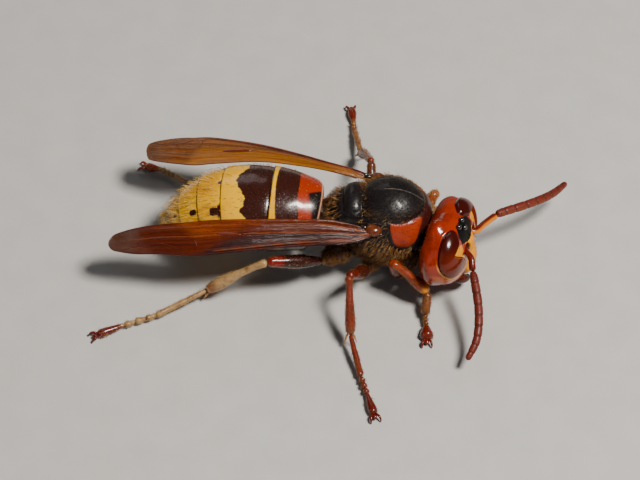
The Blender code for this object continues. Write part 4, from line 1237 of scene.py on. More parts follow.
def wing_surface(word, along, across):
    """Points of the forewing's middle surface, with its pleats. Across runs from front edge to fold."""
    spot = eased(FOREWING_STATIONS[word], along)
    front, fold = spot[..., [0, 3, 4]], spot[..., :3]
    to_tip = np.clip((1 - along) / TIP_ROUNDING, 0, 1)
    narrowed = 0.5 + (across - 0.5) * np.sqrt(1 - (1 - to_tip) ** TIP_POWER)
    points = front + (fold - front) * narrowed[..., None]
    # Pleats and a gentle arch, which fade out towards the root and the tip, and a bent-down front edge.
    fade = smoothstep(along, 0.02, 0.15) * (1 - smoothstep(along, 0.8, 0.97))
    pleats = np.sin(across * PLEATS * 2 * math.pi) * smoothstep(across, 0.0, 0.2)
    points[..., 2] += PLEAT_DEPTH * fade * pleats
    points[..., 2] += CAMBER * np.sin(across * math.pi) * fade
    points[..., 2] -= FRONT_DROP * smoothstep(FRONT_WIDTH - across, 0, FRONT_WIDTH)
    return points


def blade_piece(name, points, finish, nodes, values):
    """A closed thin sheet from a grid of points: an upper face, a lower face and a rim."""
    rows, columns = points.shape[:2]
    normals = unit(np.cross(np.gradient(points, axis=0), np.gradient(points, axis=1)))
    normals = normals * np.sign(normals[..., 2:3].mean())
    both = np.concatenate([(points + normals * MEMBRANE / 2).reshape(-1, 3),
                           (points - normals * MEMBRANE / 2).reshape(-1, 3)])
    i, j = np.meshgrid(np.arange(rows - 1), np.arange(columns - 1), indexing="ij")
    corners = [i * columns + j, (i + 1) * columns + j, (i + 1) * columns + j + 1, i * columns + j + 1]
    top = np.stack(corners, -1).reshape(-1, 4)
    count = rows * columns
    grid = np.arange(count).reshape(rows, columns)
    rim = np.concatenate([grid[0], grid[1:, -1], grid[-1, -2::-1], grid[-2:0:-1, 0]])
    after = np.roll(rim, -1)
    sides = np.stack([rim, after, after + count, rim + count], -1)
    quads = np.concatenate([top, top[:, ::-1] + count, sides[:, ::-1]])
    full = {label: np.concatenate([numbers.ravel(), numbers.ravel()]) for label, numbers in values.items()}
    add_piece(name, mesh_of(name, both, quads, values=full), finish, nodes)


print("wing helpers ready")

# %% [markdown]
# The membrane is amber with a smoky front border, and clearer towards the tip. It is see-through, so the
# yellow abdomen glows through the near wing, and a brighter tint on the back half paints that glow in. Three
# stored edges carry the smoke, the clear tip and the painted glow of the back half.

# %% Wing finish
# The smoky border's dark vein colour, and its paler grey-purple streaks, which are painted highlights.
SMOKE_AND_GLINT_TONES = ((0.022, 0.006, 0.006, 1), (0.10, 0.055, 0.045, 1))
STREAKS_ALONG, STREAKS_ACROSS = 5.0, 16.0
SMOKE_ALPHA, MEMBRANE_ALPHA, TIP_ALPHA = 0.95, 0.86, 0.82
WRINKLES = 0.05


def wing_material(name, light, deep, inner, outer):
    """Tinted membrane, streaked along its length, see-through, smoky in front and clearer towards the tip."""
    finish, tree, shader = new_material(name, Roughness=0.24, Specular_IOR_Level=0.4)
    lengthwise = add_node(tree, "ShaderNodeCombineXYZ",
                          X=calculate(tree, "MULTIPLY", stored(tree, "along"), STREAKS_ALONG),
                          Y=calculate(tree, "MULTIPLY", stored(tree, "across"), STREAKS_ACROSS))
    streak = add_node(tree, "ShaderNodeTexNoise", Vector=lengthwise.outputs["Vector"], Scale=1.0, Detail=4.0,
                      Roughness=0.65).outputs["Fac"]
    cloud = add_node(tree, "ShaderNodeTexNoise", Vector=place_of(tree), Scale=900.0,
                     Detail=3.0).outputs["Fac"]
    share = ramp_value(tree, streak, 0.34, 0.66)
    tint = blend_colours(tree, share, (*light, 1), (*deep, 1))
    # The back half's brighter tint is a painted glow of the yellow abdomen seen through the wing.
    painted_glow_tint = blend_colours(tree, share, (*inner, 1), (*light, 1))
    tint = blend_colours(tree, marking(tree, "inner", waver=0.1, softness=0.5), tint, painted_glow_tint)
    tint = blend_colours(tree, marking(tree, "outer", waver=0.3, softness=1.6), tint, (*outer, 1))
    smoke = marking(tree, "smoke", waver=0.06, softness=0.22)
    # The smoke is dark vein colour, streaked with paler painted highlights.
    smoke_and_painted_glints = blend_colours(tree, ramp_value(tree, streak, 0.5, 0.72), *SMOKE_AND_GLINT_TONES)
    tree.links.new(blend_colours(tree, smoke, tint, smoke_and_painted_glints), shader.inputs["Base Color"])
    towards_tip = marking(tree, "outer", waver=0.2, softness=1.6)
    clear = ramp_value(tree, towards_tip, 0.0, 1.0, MEMBRANE_ALPHA, TIP_ALPHA)
    uneven_clear = calculate(tree, "ADD", clear, ramp_value(tree, cloud, 0.3, 0.7, -0.04, 0.06))
    tree.links.new(calculate(tree, "MAXIMUM", uneven_clear, calculate(tree, "MULTIPLY", smoke, SMOKE_ALPHA)),
                   shader.inputs["Alpha"])
    bump(tree, shader, calculate(tree, "ADD", streak, calculate(tree, "MULTIPLY", cloud, 0.6)), WRINKLES)
    return finish


membrane_finishes = {
    "right": wing_material("wing_membrane_right", (0.10, 0.012, 0.001), (0.045, 0.005, 0.001),
                           (0.24, 0.042, 0.001), (0.060, 0.014, 0.003)),
    "left": wing_material("wing_membrane_left", (0.20, 0.062, 0.006), (0.085, 0.022, 0.003),
                          (0.30, 0.115, 0.008), (0.105, 0.032, 0.005)),
}
print("membranes:", list(membrane_finishes))

# %% [markdown]
# The veins branch from the wing's root. Each is a smooth line through a few places on the blade, given as
# shares along it and across it, with its radius at either end. The stigma is a thick glossy spot on the
# front edge.

# %% Wing pieces
VEIN_LOOK = dict(gloss=0.3, mottle=0.8, pit=0.05, coat=0.1)
vein_finish = plate_material("wing_vein", (0.07, 0.010, 0.003), (0.025, 0.005, 0.003), **VEIN_LOOK)
pale_vein_finish = plate_material("pale_vein", (0.22, 0.045, 0.005), (0.09, 0.016, 0.003), **VEIN_LOOK)
stigma_finish = plate_material("wing_stigma", (0.10, 0.014, 0.004), (0.04, 0.006, 0.003), gloss=0.08,
                               mottle=0.8, pit=0.3, pit_depth=0.1, coat=1.0)
FOREWING_VEINS = {
    "costa": ([(0.0, 0.06), (0.3, 0.03), (0.62, 0.025)], 0.085, 0.05, vein_finish),
    "radius": ([(0.0, 0.2), (0.3, 0.15), (0.56, 0.10)], 0.08, 0.05, vein_finish),
    "radial_streak": ([(0.0, 0.13), (0.25, 0.09), (0.5, 0.065)], 0.05, 0.03, pale_vein_finish),
    "front_rim": ([(0.62, 0.03), (0.75, 0.02), (0.9, 0.05)], 0.045, 0.02, vein_finish),
    "marginal_cell": ([(0.60, 0.12), (0.70, 0.30), (0.80, 0.24), (0.88, 0.06)], 0.03, 0.02, vein_finish),
    "cubitus": ([(0.0, 0.36), (0.2, 0.40), (0.42, 0.5)], 0.06, 0.04, pale_vein_finish),
    "basal": ([(0.33, 0.14), (0.38, 0.3), (0.42, 0.5)], 0.035, 0.03, vein_finish),
    "discoidal": ([(0.42, 0.5), (0.6, 0.53), (0.84, 0.48)], 0.035, 0.015, pale_vein_finish),
    "discoidal_cross": ([(0.42, 0.5), (0.5, 0.62), (0.56, 0.8)], 0.03, 0.02, pale_vein_finish),
    "first_cross": ([(0.56, 0.14), (0.57, 0.3), (0.59, 0.52)], 0.028, 0.02, vein_finish),
    "second_cross": ([(0.69, 0.28), (0.70, 0.4), (0.71, 0.5)], 0.025, 0.018, vein_finish),
    "anal": ([(0.0, 0.6), (0.15, 0.7), (0.3, 0.78), (0.56, 0.8), (0.74, 0.84)], 0.05, 0.02, pale_vein_finish),
    "fold_rim": ([(0.05, 0.97), (0.4, 0.985), (0.8, 0.985), (0.92, 0.96)], 0.03, 0.02, vein_finish),
    "stigma": ([(0.42, 0.49), (0.45, 0.52), (0.485, 0.57)], 0.15, 0.15, stigma_finish),
}
VEIN_STEPS, VEIN_COLUMNS, VEIN_FLATNESS, VEIN_RISE = 70, 12, 0.6, 0.02
WING_GRID, TIP_CROWDING, HINDWING_GRID = (240, 72), 1.3, (120, 30)
HINDWING_ALONG, HINDWING_ACROSS, HINDWING_DROP = (0.09, 0.7), (0.1, 0.6), 0.5
SMOKE_BORDERS, DUSK = {"left": 0.22, "right": 0.46}, {"left": 0.0, "right": 1.2}
CLEAR_FROM, CLEAR_STEEPNESS = 0.80, 19


def wing_edges(word, along, across):
    """How far each place of a forewing is from the smoky border, the clear tip and the back half's painted
    glow.
    """
    # The smoke ends beyond the stigma and covers the root. The bright half, a painted glow of the abdomen
    # seen through the wing, dims towards the tip, and on the near wing towards the root too.
    smoke = (SMOKE_BORDERS[word] - across) * 2.0 - 2.0 * smoothstep(along, 0.36, 0.75)
    smoke += 1.5 * smoothstep(-along, -0.14, 0.0)
    inner = (across - 0.45) * 2 - 3.0 * smoothstep(along, 0.55, 0.78)
    inner -= DUSK[word] * smoothstep(-along, -0.5, -0.34)
    return {"smoke": smoke, "outer": (along - CLEAR_FROM) * CLEAR_STEEPNESS, "inner": inner, "along": along,
            "across": across}


def vein_rings(word, label, vein, thick, thin):
    """A vein's tube, laid on the blade. The stigma swells in its middle."""
    share = np.linspace(0, 1, VEIN_STEPS)
    along, across = eased(vein, share).T
    wide = thick + (thin - thick) * share
    if label == "stigma":
        wide = wide * np.sqrt(np.clip(1 - (2 * share - 1) ** 2, 0.02, 1))
    wide = wide * smoothstep(np.minimum(share, 1 - share), -0.02, 0.05)
    return tube_rings(wing_surface(word, along, across) + UP * VEIN_RISE, wide, VEIN_COLUMNS, VEIN_FLATNESS)


for word in SIDES:
    along, across = np.meshgrid(1 - np.linspace(1, 0, WING_GRID[0]) ** TIP_CROWDING,
                                np.linspace(0, 1, WING_GRID[1]), indexing="ij")
    blade_piece(f"wing_blade_{word}", wing_surface(word, along, across), membrane_finishes[word],
                [f"forewing_{word}"], wing_edges(word, along, across))
    along, across = np.meshgrid(np.linspace(*HINDWING_ALONG, HINDWING_GRID[0]),
                                np.linspace(*HINDWING_ACROSS, HINDWING_GRID[1]), indexing="ij")
    plain = {label: along * 0 + NO_MARKING for label in ("smoke", "outer", "inner")}
    blade_piece(f"hind_blade_{word}", wing_surface(word, along, across) - UP * HINDWING_DROP,
                membrane_finishes[word], [f"hindwing_{word}"], {**plain, "along": along, "across": across})
    for label, (vein, thick, thin, finish) in FOREWING_VEINS.items():
        skin_piece(f"vein_{label}_{word}", vein_rings(word, label, vein, thick, thin), finish)
print("wings made, veins on each:", len(FOREWING_VEINS))

# %% [markdown]
# Each leg is a coxa at the body, a small trochanter, a slim thigh, a shin with spurs at its end, and a
# foot of five joints with two claws and a pad between them. Every part is a tube with its own profile,
# thin where it starts and wider towards its far end, and its far end may have a colour of its own.

# %% Leg places and colours
LEG_JOINTS = {
    ("fore", "right"): [(2.0, -1.0, 3.1), (1.25, -2.65, 1.25), (0.44, -3.85, 4.1), (3.14, -4.75, 1.8),
                        (2.92, -5.98, 0.62), (2.99, -6.8, 0.42), (3.02, -8.2, 0.36)],
    ("fore", "left"): [(2.1, 0.9, 3.1), (2.2, 2.3, 1.25), (3.95, 3.3, 3.9), (2.95, 4.0, 1.25),
                       (4.2, 4.2, 0.55), (5.0, 4.1, 0.42), (6.2, 3.6, 0.36)],
    ("mid", "right"): [(-0.7, -1.2, 3.2), (-1.2, -2.5, 1.75), (-2.77, -5.45, 4.55), (-2.65, -8.5, 1.4),
                       (-1.9, -11.7, 0.52), (-1.46, -13.2, 0.42), (-0.95, -15.1, 0.36)],
    ("mid", "left"): [(-0.7, 1.2, 3.2), (-1.0, 2.5, 1.75), (-1.0, 5.85, 4.5), (-1.72, 9.5, 1.4),
                      (-2.19, 12.5, 0.52), (-2.25, 13.45, 0.42), (-2.42, 15.0, 0.36)],
    ("hind", "right"): [(-2.9, -1.3, 3.3), (-4.5, -2.6, 2.9), (-8.83, -4.0, 4.4), (-13.35, -4.04, 1.15),
                        (-17.13, -5.96, 0.5), (-19.44, -6.77, 0.42), (-21.5, -7.7, 0.36)],
    ("hind", "left"): [(-2.9, 1.5, 3.3), (-4.4, 3.1, 2.9), (-8.5, 5.1, 4.4), (-13.2, 5.6, 1.15),
                       (-16.2, 7.9, 0.5), (-17.17, 8.6, 0.42), (-18.5, 9.0, 0.36)],
}
COXA_RADII = {"fore": [0.8, 0.85, 0.62, 0.42], "mid": [0.8, 0.85, 0.6, 0.42], "hind": [1.0, 0.95, 0.6, 0.45]}
FEMUR_RADII = {
    "fore": [0.26, 0.46, 0.55, 0.5, 0.38, 0.33], "mid": [0.24, 0.42, 0.5, 0.44, 0.34, 0.32],
    "hind": [0.26, 0.44, 0.52, 0.48, 0.42, 0.36],
}
TIBIA_RADII = {
    "fore": [0.30, 0.27, 0.32, 0.40, 0.46, 0.36], "mid": [0.30, 0.25, 0.28, 0.34, 0.38, 0.32],
    "hind": [0.32, 0.24, 0.27, 0.38, 0.46, 0.36],
}
LEG_COLOURS = {
    ("fore", "femur"): ((0.12, 0.009, 0.003), (0.03, 0.004, 0.002), CHESTNUT),
    ("fore", "tibia"): ((0.24, 0.030, 0.004), (0.10, 0.009, 0.003), (0.60, 0.20, 0.012)),
    ("fore", "foot"): ((0.16, 0.05, 0.014), (0.07, 0.012, 0.004), (0.11, 0.008, 0.003)),
    # The near mid thigh's dark red-brown is deepened almost to black as painted shadow.
    ("mid", "femur"): ((0.06, 0.008, 0.003), (0.02, 0.004, 0.002), (0.10, 0.008, 0.003)),
    ("mid", "tibia"): ((0.16, 0.020, 0.008), (0.07, 0.008, 0.004), (0.16, 0.04, 0.014)),
    ("mid", "foot"): ((0.15, 0.020, 0.007), (0.07, 0.008, 0.004), (0.09, 0.006, 0.003)),
    # The near hind thigh is dark red at its knee end; the black of the rest is painted shadow over that red.
    ("hind", "femur"): ((0.030, 0.005, 0.002), (0.008, 0.002, 0.002), (0.15, 0.004, 0.002)),
    ("hind", "tibia"): ((0.40, 0.245, 0.10), (0.15, 0.055, 0.018), (0.22, 0.075, 0.024)),
    ("hind", "foot"): ((0.32, 0.19, 0.075), (0.12, 0.045, 0.018), (0.09, 0.006, 0.003)),
    ("fore", "femur", "left"): ((0.22, 0.075, 0.018), (0.07, 0.02, 0.006), (0.26, 0.05, 0.01)),
    ("mid", "femur", "left"): ((0.05, 0.012, 0.005), (0.02, 0.006, 0.003), (0.09, 0.022, 0.007)),
    # The far hind foot is a lighter copy of the hind foot's colours: painted light against the shade it
    # stands in.
    ("hind", "foot", "left"): ((0.52, 0.33, 0.15), (0.28, 0.12, 0.045), (0.26, 0.040, 0.016)),
    ("mid", "foot", "left"): ((0.26, 0.11, 0.03), (0.12, 0.035, 0.012), (0.11, 0.008, 0.003)),
    ("any", "coxa"): ((0.10, 0.035, 0.012), BLACK, (0.16, 0.05, 0.015)),
}
leg_finishes = {}


def leg_finish(pair, part, word=""):
    """The finish of one leg part, made once. Colours are the plain one, the mottle and the far end's."""
    key = next(key for key in ((pair, part, word), (pair, part), ("any", part)) if key in LEG_COLOURS)
    if key not in leg_finishes:
        colour, deep, end_colour = LEG_COLOURS[key]
        leg_finishes[key] = plate_material("_".join(key) + "_chitin", colour, deep, gloss=0.26, mottle=0.55,
                                           pit=0.08, pit_depth=0.6, relief=0.02, coat=0.3,
                                           markings=(("far_end", end_colour, 0.3),))
    return leg_finishes[key]


print("leg parts with a colour of their own:", len(LEG_COLOURS))

# %% [markdown]
# A foot is one long joint, three short ones and a last one. Two claws and a soft pad between them grip what
# it stands on. No part may sink into the floor, so each skin is kept a hundredth of a millimetre above it.

# %% Leg parts
FLOOR_GAP = 0.012
LEG_SWELLS = 0.35
WHOLE_END, NO_END = -1.0, 2.0
HEEL_RADII, HEEL_WIDTH = np.array([0.15, 0.19, 0.22, 0.21, 0.27]), {"fore": 1.6, "mid": 1.05, "hind": 1.0}
TOES, TOE_OVERLAP, TOE_RADII = 3, 0.04, [0.12, 0.18, 0.25, 0.28]
LAST_RADII, LAST_WIDTH = [0.4, 0.62, 0.86, 1.0, 0.9], {"fore": 0.52, "mid": 0.34, "hind": 0.33}
LAST_LENGTH = 0.97
CLAW_PATH = ((-0.12, 0.14, 0.36), (0.18, 0.30, 0.42), (0.40, 0.36, 0.30), (0.5, 0.36, 0.08))
CLAW_RADII = [0.11, 0.1, 0.075, 0.03]
PAD_BACK, PAD_REACH, PAD_RADII = 0.1, np.array([0.3, 0.12]), [0.12, 0.16, 0.12]
HEEL_HAIRS, TOE_HAIRS, LAST_HAIRS = 260, 60, 90
leg_surfaces = {}


def leg_part(name, path, radii, finish, nodes=(), end_from=0.75, height=1.0, rows=56, leg="", hairs=0):
    """One tube of a leg, with a stored distance in millimetres past where its end colour starts."""
    rings, share = limb_rings(path, radii, rows=rows, height=height)
    reach = np.asarray(path[-1]) - np.asarray(path[0])
    far_end = around_ring((share - end_from) * np.linalg.norm(reach), rings)
    rings = uneven(rings, LEG_SWELLS)
    rings[..., 2] = np.maximum(rings[..., 2], FLOOR_GAP)
    skin_piece(name, rings, finish, nodes, {"far_end": far_end})
    if hairs:
        leg_surfaces.setdefault(leg, []).append((rings, hairs, unit(reach)))
    return rings


def bowed(start, end, side, outwards, up):
    """A start, a middle that bows outwards and up, and an end."""
    return [start, (start + end) / 2 + [0, outwards * side, up], end]


def make_foot(pair, word, ankle, heel, wrist, tip):
    """A long first joint, three short ones, the last one, two claws and the pad between them."""
    finish, leg = leg_finish(pair, "foot", word), f"{pair}_{word}"
    leg_part(f"{pair}_heel_{word}", [ankle, heel], HEEL_RADII * HEEL_WIDTH[pair], finish,
             [f"{pair}_tarsus_{word}"], NO_END, leg=leg, hairs=HEEL_HAIRS)
    for number in range(TOES):
        ends = [heel + (wrist - heel) * share / TOES for share in (number - TOE_OVERLAP, number + 1)]
        leg_part(f"{pair}_toe_{number}_{word}", ends, TOE_RADII, finish, (), NO_END, rows=30, leg=leg,
                 hairs=TOE_HAIRS)
    leg_part(f"{pair}_last_{word}", [wrist, wrist + (tip - wrist) * LAST_LENGTH],
             np.array(LAST_RADII) * LAST_WIDTH[pair], finish, (), 0.12, rows=40, leg=leg, hairs=LAST_HAIRS)
    ahead = unit(tip - wrist)
    aside = unit(np.cross(ahead, UP))
    for hand, turn in SIDES.items():
        path = [tip + ahead * forwards + aside * sideways * turn + [0, 0, height - tip[2]]
                for forwards, sideways, height in CLAW_PATH]
        leg_part(f"{pair}_claw_{hand}_{word}", path, CLAW_RADII, finish, (), WHOLE_END, rows=30)
    pad = [tip - ahead * PAD_BACK, tip + ahead * PAD_REACH[0] - UP * PAD_REACH[1]]
    leg_part(f"{pair}_pad_{word}", pad, PAD_RADII, finish, (), WHOLE_END, rows=24)


print("leg helpers ready")

# %% [markdown]
# All six legs are built from the same parts. The thigh bows outwards and up, the shin only up, and one or
# two spurs stand at the end of each shin. Their skins are kept, because the hairs root on them.

# %% Legs
SPURS = {"fore": [0.5], "mid": [0.45, -0.45], "hind": [0.5, -0.35]}
SPUR_RADII, SPUR_DROPS = [0.09, 0.07, 0.025], (0.12, 0.28)
TROCHANTER_RADII, TROCHANTER_REACH = [0.3, 0.36, 0.3], (-0.1, 0.35)
THIGH_BOW, SHIN_BOW = (0.12, 0.12), (0.0, 0.15)
THIGH_HAIRS, SHIN_HAIRS = {"fore": 330, "mid": 330, "hind": 120}, 420
HIP_HAIR_WEIGHTS = (0.3, 1.0)
spur_finish = plate_material("spur_chitin", (0.42, 0.20, 0.06), (0.18, 0.05, 0.015), gloss=0.25, mottle=0.3)
hip_surfaces = {}
for (pair, word), joints in LEG_JOINTS.items():
    side, leg = SIDES[word], f"{pair}_{word}"
    root, hip, knee, ankle, heel, wrist, tip = [np.array(joint) for joint in joints]
    hip_rings = leg_part(f"{pair}_hip_{word}", bowed(root, hip, side, 0, 0), COXA_RADII[pair],
                         leg_finish(pair, "coxa"), [f"{pair}_coxa_{word}"], 0.7)
    lower = around_ring(np.linspace(*HIP_HAIR_WEIGHTS, len(hip_rings)), hip_rings)
    hip_surfaces[leg] = (hip_rings, lower, unit(hip - root), 0 * lower)
    thigh_way = unit(knee - hip)
    before, start = (hip + thigh_way * reach for reach in TROCHANTER_REACH)
    leg_part(f"{pair}_trochanter_{word}", [before, start], TROCHANTER_RADII, leg_finish(pair, "coxa"), (),
             0.3, rows=24)
    leg_part(f"{pair}_thigh_{word}", bowed(start, knee, side, *THIGH_BOW), FEMUR_RADII[pair],
             leg_finish(pair, "femur", word), [f"{pair}_femur_{word}"], 0.72, 1.05, leg=leg,
             hairs=THIGH_HAIRS[pair])
    leg_part(f"{pair}_shin_{word}", bowed(knee, ankle, side, *SHIN_BOW), TIBIA_RADII[pair],
             leg_finish(pair, "tibia"), [f"{pair}_tibia_{word}"], 0.84, leg=leg, hairs=SHIN_HAIRS)
    along = unit(ankle - knee)
    aside = unit(np.cross(along, UP))
    for number, lean in enumerate(SPURS[pair]):
        base = ankle - along * 0.15 + aside * lean * 0.5 - UP * SPUR_DROPS[0]
        point = base + along * 0.5 + aside * lean * 0.55 - UP * SPUR_DROPS[1]
        leg_part(f"{pair}_spur_{number}_{word}", [base, point], SPUR_RADII, spur_finish, (), NO_END, rows=20)
    make_foot(pair, word, ankle, heel, wrist, tip)
print("legs made:", len(leg_surfaces))

# %% [markdown]
# A hornet's coat is a thin cover of golden-brown hairs: long and dense round the thorax and on the hips,
# bristly on the rear of the abdomen, short on the head and legs. Each hair is a bent three-sided spike of
# solid mesh. Its root is found on the skin's own grid, so its colour follows the markings below it, and
# its place in the coat's map is its root's place on that grid.

# %% Hair roots
HAIR_ROUGHNESS = 0.42


def hair_material(name, light, deep, dark):
    """Satin hair: each one has its own tone, and hairs that root on a dark marking are dark."""
    finish, tree, shader = new_material(name, Roughness=HAIR_ROUGHNESS)
    shade = blend_colours(tree, stored(tree, "tone"), (*light, 1), (*deep, 1))
    shade = blend_colours(tree, stored(tree, "on_dark"), shade, (*dark, 1))
    tree.links.new(shade, shader.inputs["Base Color"])
    return finish


def ring_normals(rings):
    """The outward direction at each ring point."""
    along = np.gradient(rings, axis=0)
    around = np.roll(rings, -1, axis=1) - np.roll(rings, 1, axis=1)
    normals = unit(np.cross(along, around))
    outwards = rings - rings.mean(1, keepdims=True)
    return normals if (normals * outwards).sum() > 0 else -normals


def hair_roots(skin, count, draw):
    """Places, outward ways, lie, darkness and map places of hairs spread over a skin by area and weight."""
    rings, weights, lie, dark = skin
    rows, columns = rings.shape[:2]
    normals = ring_normals(rings)
    after = np.roll(rings, -1, axis=1)
    area = np.linalg.norm(np.cross(after[1:] - rings[:-1], rings[1:] - after[:-1]), axis=-1) / 2
    chance = (area * weights[:-1]).ravel()
    cells = draw.choice(len(chance), count, p=chance / chance.sum())
    row, column = np.divmod(cells, columns)
    next_column = (column + 1) % columns
    along, around = draw.random((2, count, 1))

    def read(grid):
        here = grid[row, column] * (1 - around) + grid[row, next_column] * around
        there = grid[row + 1, column] * (1 - around) + grid[row + 1, next_column] * around
        return here * (1 - along) + there * along

    spots = np.concatenate([(column[:, None] + around) / columns, (row[:, None] + along) / (rows - 1)], 1)
    lie = np.broadcast_to(np.asarray(lie, float), rings.shape)
    return read(rings), unit(read(normals)), read(lie), read(dark[..., None])[:, 0], spots


print("hair roots are drawn by area and weight")

# %% [markdown]
# A hair rises from its root at the coat's own angle, then bends back towards the skin. Its tube has three
# sides, a ring of corners at the root, one half-way, and a sharp tip. Every hair leans, bends, tapers and
# shades a little differently, by draws that are the same in every run.

# %% Coats
PATCH = 0.0015
HAIR_HEIGHTS = (0.012, 8.3)
CORNERS = np.array([(0.0, 1.0), (-0.87, -0.5), (0.87, -0.5)])
BEND = 0.5
HALF_WAY_WIDTH, HALF_WAY_PLACE = 0.75, 0.5
LEAN_SPREAD, ANGLE_SPREAD, BEND_SPREAD = 0.35, 9, 0.12
WIDTH_SPREAD, TONE_POWER = (0.75, 1.25), 0.65
HAIR_SIDES = [(0, 1), (1, 2), (2, 0)]
HAIR_POINTS = 7
HAIR_FACES = np.array([(0, 2, 1)] + [(a, b, b + 3) for a, b in HAIR_SIDES]
                      + [(a, b + 3, a + 3) for a, b in HAIR_SIDES]
                      + [(a + 3, b + 3, 6) for a, b in HAIR_SIDES])


def leaning(angle, flat, outward):
    """A direction between the skin and straight up from it."""
    return np.cos(angle) * flat + np.sin(angle) * outward


def hair_points(roots, outward, lie, lengths, raised, thick, draw):
    """The seven points of each hair."""
    count = len(roots)
    flat = lie + draw.normal(0, LEAN_SPREAD, (count, 3))
    flat = unit(flat - (flat * outward).sum(1, keepdims=True) * outward)
    angle = np.radians(raised + draw.normal(0, ANGLE_SPREAD, (count, 1)))
    first = leaning(angle, flat, outward)
    second = unit(leaning(angle * BEND, flat, outward) + draw.normal(0, BEND_SPREAD, (count, 3)))
    length = draw.uniform(*lengths, (count, 1))
    width = thick * draw.uniform(*WIDTH_SPREAD, (count, 1))
    aside = unit(np.cross(first, outward) + 1e-6)
    facing = np.cross(aside, first)
    base = roots - outward * thick
    middle = base + first * length * 0.5
    points = np.empty((count, HAIR_POINTS, 3))
    for k, (right, up) in enumerate(CORNERS):
        points[:, k] = base + (aside * right + facing * up) * width
        points[:, k + 3] = middle + (aside * right + facing * up) * width * HALF_WAY_WIDTH
    points[:, 6] = middle + second * length * 0.5
    points[..., 2] = np.clip(points[..., 2], *HAIR_HEIGHTS)
    return points


def coat(name, skins, counts, lengths, raised, thick, finish, slot, seed):
    """Hairs on one or more skins, as one closed mesh. A skin is rings, weights, the lie and its darkness."""
    draw = np.random.default_rng(seed)
    found = [hair_roots(skin, count, draw) for skin, count in zip(skins, counts)]
    roots, outward, lie, dark = (np.concatenate([part[k] for part in found]) for k in range(4))
    spots = np.concatenate([(part[4] + [k, 0]) / [len(found), 1] for k, part in enumerate(found)])
    points = hair_points(roots, outward, lie, lengths, raised, thick, draw).reshape(-1, 3)
    triangles = (np.arange(len(roots))[:, None, None] * HAIR_POINTS + HAIR_FACES).reshape(-1, 3)
    tone = np.repeat(draw.random(len(roots)) ** TONE_POWER, HAIR_POINTS)
    dark = np.repeat(dark, HAIR_POINTS)
    mesh = mesh_of(name, points, triangles=triangles, values={"tone": tone, "on_dark": dark})
    corners = np.empty(len(mesh.loops), np.int32)
    mesh.loops.foreach_get("vertex_index", corners)
    corner_places = np.concatenate([CORNERS, CORNERS * HALF_WAY_PLACE, [(0.0, 0.0)]]) * PATCH
    places = (spots[:, None] + corner_places).reshape(-1, 2)
    mesh.uv_layers.new(name="OFBake").data.foreach_set("uv", places[corners].astype(np.float32).ravel())
    add_piece(name, mesh, finish)
    print(name, len(roots), "hairs,", len(triangles), "triangles")


# %% [markdown]
# The thorax has three coats. A long brown one and a thin golden one among it cover the sides, the rear and
# the rim of the scutum. A short fine one lies on the scutum itself, brown near the rim and dark in the
# middle. They lie backwards and stand up steeply. The collar's red lobes, the scutellum and the neck side
# are bare.

# %% Thorax coats
HAIR_BROWN = (0.055, 0.020, 0.007)
body_hair = hair_material("body_hair", (0.40, 0.17, 0.03), HAIR_BROWN, (0.02, 0.010, 0.006))
bristle = hair_material("bristle", (0.88, 0.62, 0.16), (0.52, 0.26, 0.03), HAIR_BROWN)
pale_hair = hair_material("pale_hair", (0.60, 0.40, 0.15), (0.32, 0.16, 0.05), HAIR_BROWN)
REARWARDS = np.array([-1.0, 0.0, 0.0])
x, y, z = np.moveaxis(thorax_rings, -1, 0)
top, drawn = thorax_values["scutum"], thorax_to_drawing(thorax_rings)
# Hair grows on the sides, at the rear and along the scutum's rim, not on the smooth plates or the neck.
sides = (1 - smoothstep(z, 4.8, 6.2)) * smoothstep(z, 1.2, 2.6)
rear = smoothstep(-x, 3.0, 3.7) * smoothstep(z, 1.2, 2.6)
fringe = bell(top + 0.3, 0.4)
bare = smoothstep(-thorax_values["red_plate"], 0.0, 0.3) * smoothstep(-thorax_values["scutellum"], -0.1, 0.15)
bare *= 1 - 0.95 * smoothstep(x, 1.7, 2.4) * smoothstep(z, 2.8, 3.8)
lie = REARWARDS + np.stack([0 * x, np.sign(y) * 0.3, -0.5 * smoothstep(-top, 0.0, 1.0)], -1)
# How thick each coat is there. The rim's hair is thicker on the far side.
brown = (sides + 0.5 * rear + (0.14 + 0.6 * smoothstep(y, -1.0, 1.0)) * fringe) * bare
golden = (sides + 0.6 * rear + 0.5 * fringe) * bare
near_rim = bell(top - 0.2, 0.3) * (0.12 + 0.88 * smoothstep(y, 0.3, 2.0))
short = 0.2 * smoothstep(top, 0.02, 0.25) + near_rim
dark_middle = smoothstep(top, 0.25, 0.7)
coat("coat_thorax", [(drawn, brown, lie, 0 * top)], [5400], lengths=(0.35, 0.75), raised=52, thick=0.014,
     finish=body_hair, slot="black_chitin", seed=21)
coat("coat_thorax_gold", [(drawn, golden, lie, 0 * top)], [800], lengths=(0.3, 0.65), raised=55, thick=0.012,
     finish=pale_hair, slot="black_chitin", seed=23)
coat("coat_scutum", [(drawn, short, lie, dark_middle)], [1700], lengths=(0.18, 0.36), raised=42, thick=0.0075,
     finish=body_hair, slot="black_chitin", seed=22)

# %% [markdown]
# The abdomen's bristles are gold and slant backwards. They are short and few on the first two rings,
# longer and closer on the rear ones, where they stand out along the outline.

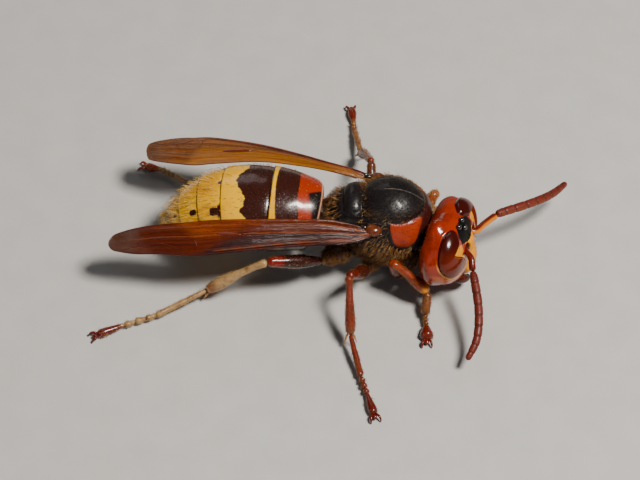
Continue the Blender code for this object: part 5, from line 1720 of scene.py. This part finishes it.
# %% Abdomen coat
ABDOMEN_HAIRS = (
    (0.05, 140, (0.15, 0.3)), (0.315, 420, (0.2, 0.36)), (0.555, 430, (0.35, 0.65)), (0.68, 430, (0.5, 0.85)),
    (0.805, 360, (0.55, 0.95)), (0.90, 280, (0.55, 0.95)))
for number, (rings, t, band) in enumerate(abdomen_surfaces, 1):
    start, count, lengths = ABDOMEN_HAIRS[number - 1]
    seen = smoothstep(t, start, start + 0.012) * smoothstep(rings[..., 2], 0.8, 2.0)
    skin = (rings, seen, unit(np.gradient(rings, axis=0)), smoothstep(band, -0.05, 0.05))
    coat(f"coat_abdomen_{number}", [skin], [count], lengths, raised=52, thick=0.015, finish=bristle,
         slot="banded_chitin", seed=30 + number)

# %% [markdown]
# The head's hairs are very short, fine and golden red. They stand thinly all over it, except on the black
# patch and round the eyes.

# %% Head coat
face_hair = hair_material("face_hair", (0.30, 0.10, 0.02), (0.16, 0.03, 0.006), HAIR_BROWN)
face_down = np.array([0.2, -0.1, -1.0])
eye = eye_distance(head_rings)
bare = smoothstep(-eye, 0.05, 0.2) * smoothstep(-head_values["black_patch"], 0.0, 0.1)
thin = 0.3 - 0.2 * smoothstep(-head_rings[..., 0], 0.3, 1.3)
drawn = head_to_drawing(head_rings)
coat("coat_head", [(drawn, bare * thin, face_down, 0 * eye)], [900], lengths=(0.12, 0.26), raised=45,
     thick=0.006, finish=face_hair, slot="chitin", seed=41)

# %% [markdown]
# Leg hairs are short and lie along each joint, pale on the hind legs and the left foreleg, brown on the
# others. On the hips and under the thorax they are longer and stand up.

# %% Leg and hip coats
PALE_LEGS = ("hind_left", "hind_right", "fore_left")
THICK_LEG, THICKER = "fore_left", 3
HIP_HAIRS, UNDER_HAIRS = 1500, 1800
for number, (label, surfaces) in enumerate(leg_surfaces.items()):
    skins = []
    for rings, _, along in surfaces:
        inner = smoothstep(np.sin(np.linspace(0, math.pi, len(rings))), 0.02, 0.2)
        skins.append((rings, around_ring(inner, rings), along, 0 * rings[..., 0]))
    counts = [hairs * (THICKER if label == THICK_LEG else 1) for _, hairs, _ in surfaces]
    coat(f"coat_leg_{label}", skins, counts, lengths=(0.16, 0.34), raised=32, thick=0.010,
         finish=pale_hair if label in PALE_LEGS else body_hair, slot="leg", seed=60 + number)
for number, (label, skin) in enumerate(hip_surfaces.items()):
    coat(f"coat_hip_{label}", [skin], [HIP_HAIRS], lengths=(0.3, 0.6), raised=50, thick=0.012,
         finish=body_hair, slot="leg", seed=80 + number)
even = 1 + 0 * under_rings[..., 0]
coat("coat_under", [(under_rings, even, REARWARDS, 0 * even)], [UNDER_HAIRS], lengths=(0.3, 0.6), raised=50,
     thick=0.013, finish=body_hair, slot="black_chitin", seed=95)
print("coats made")
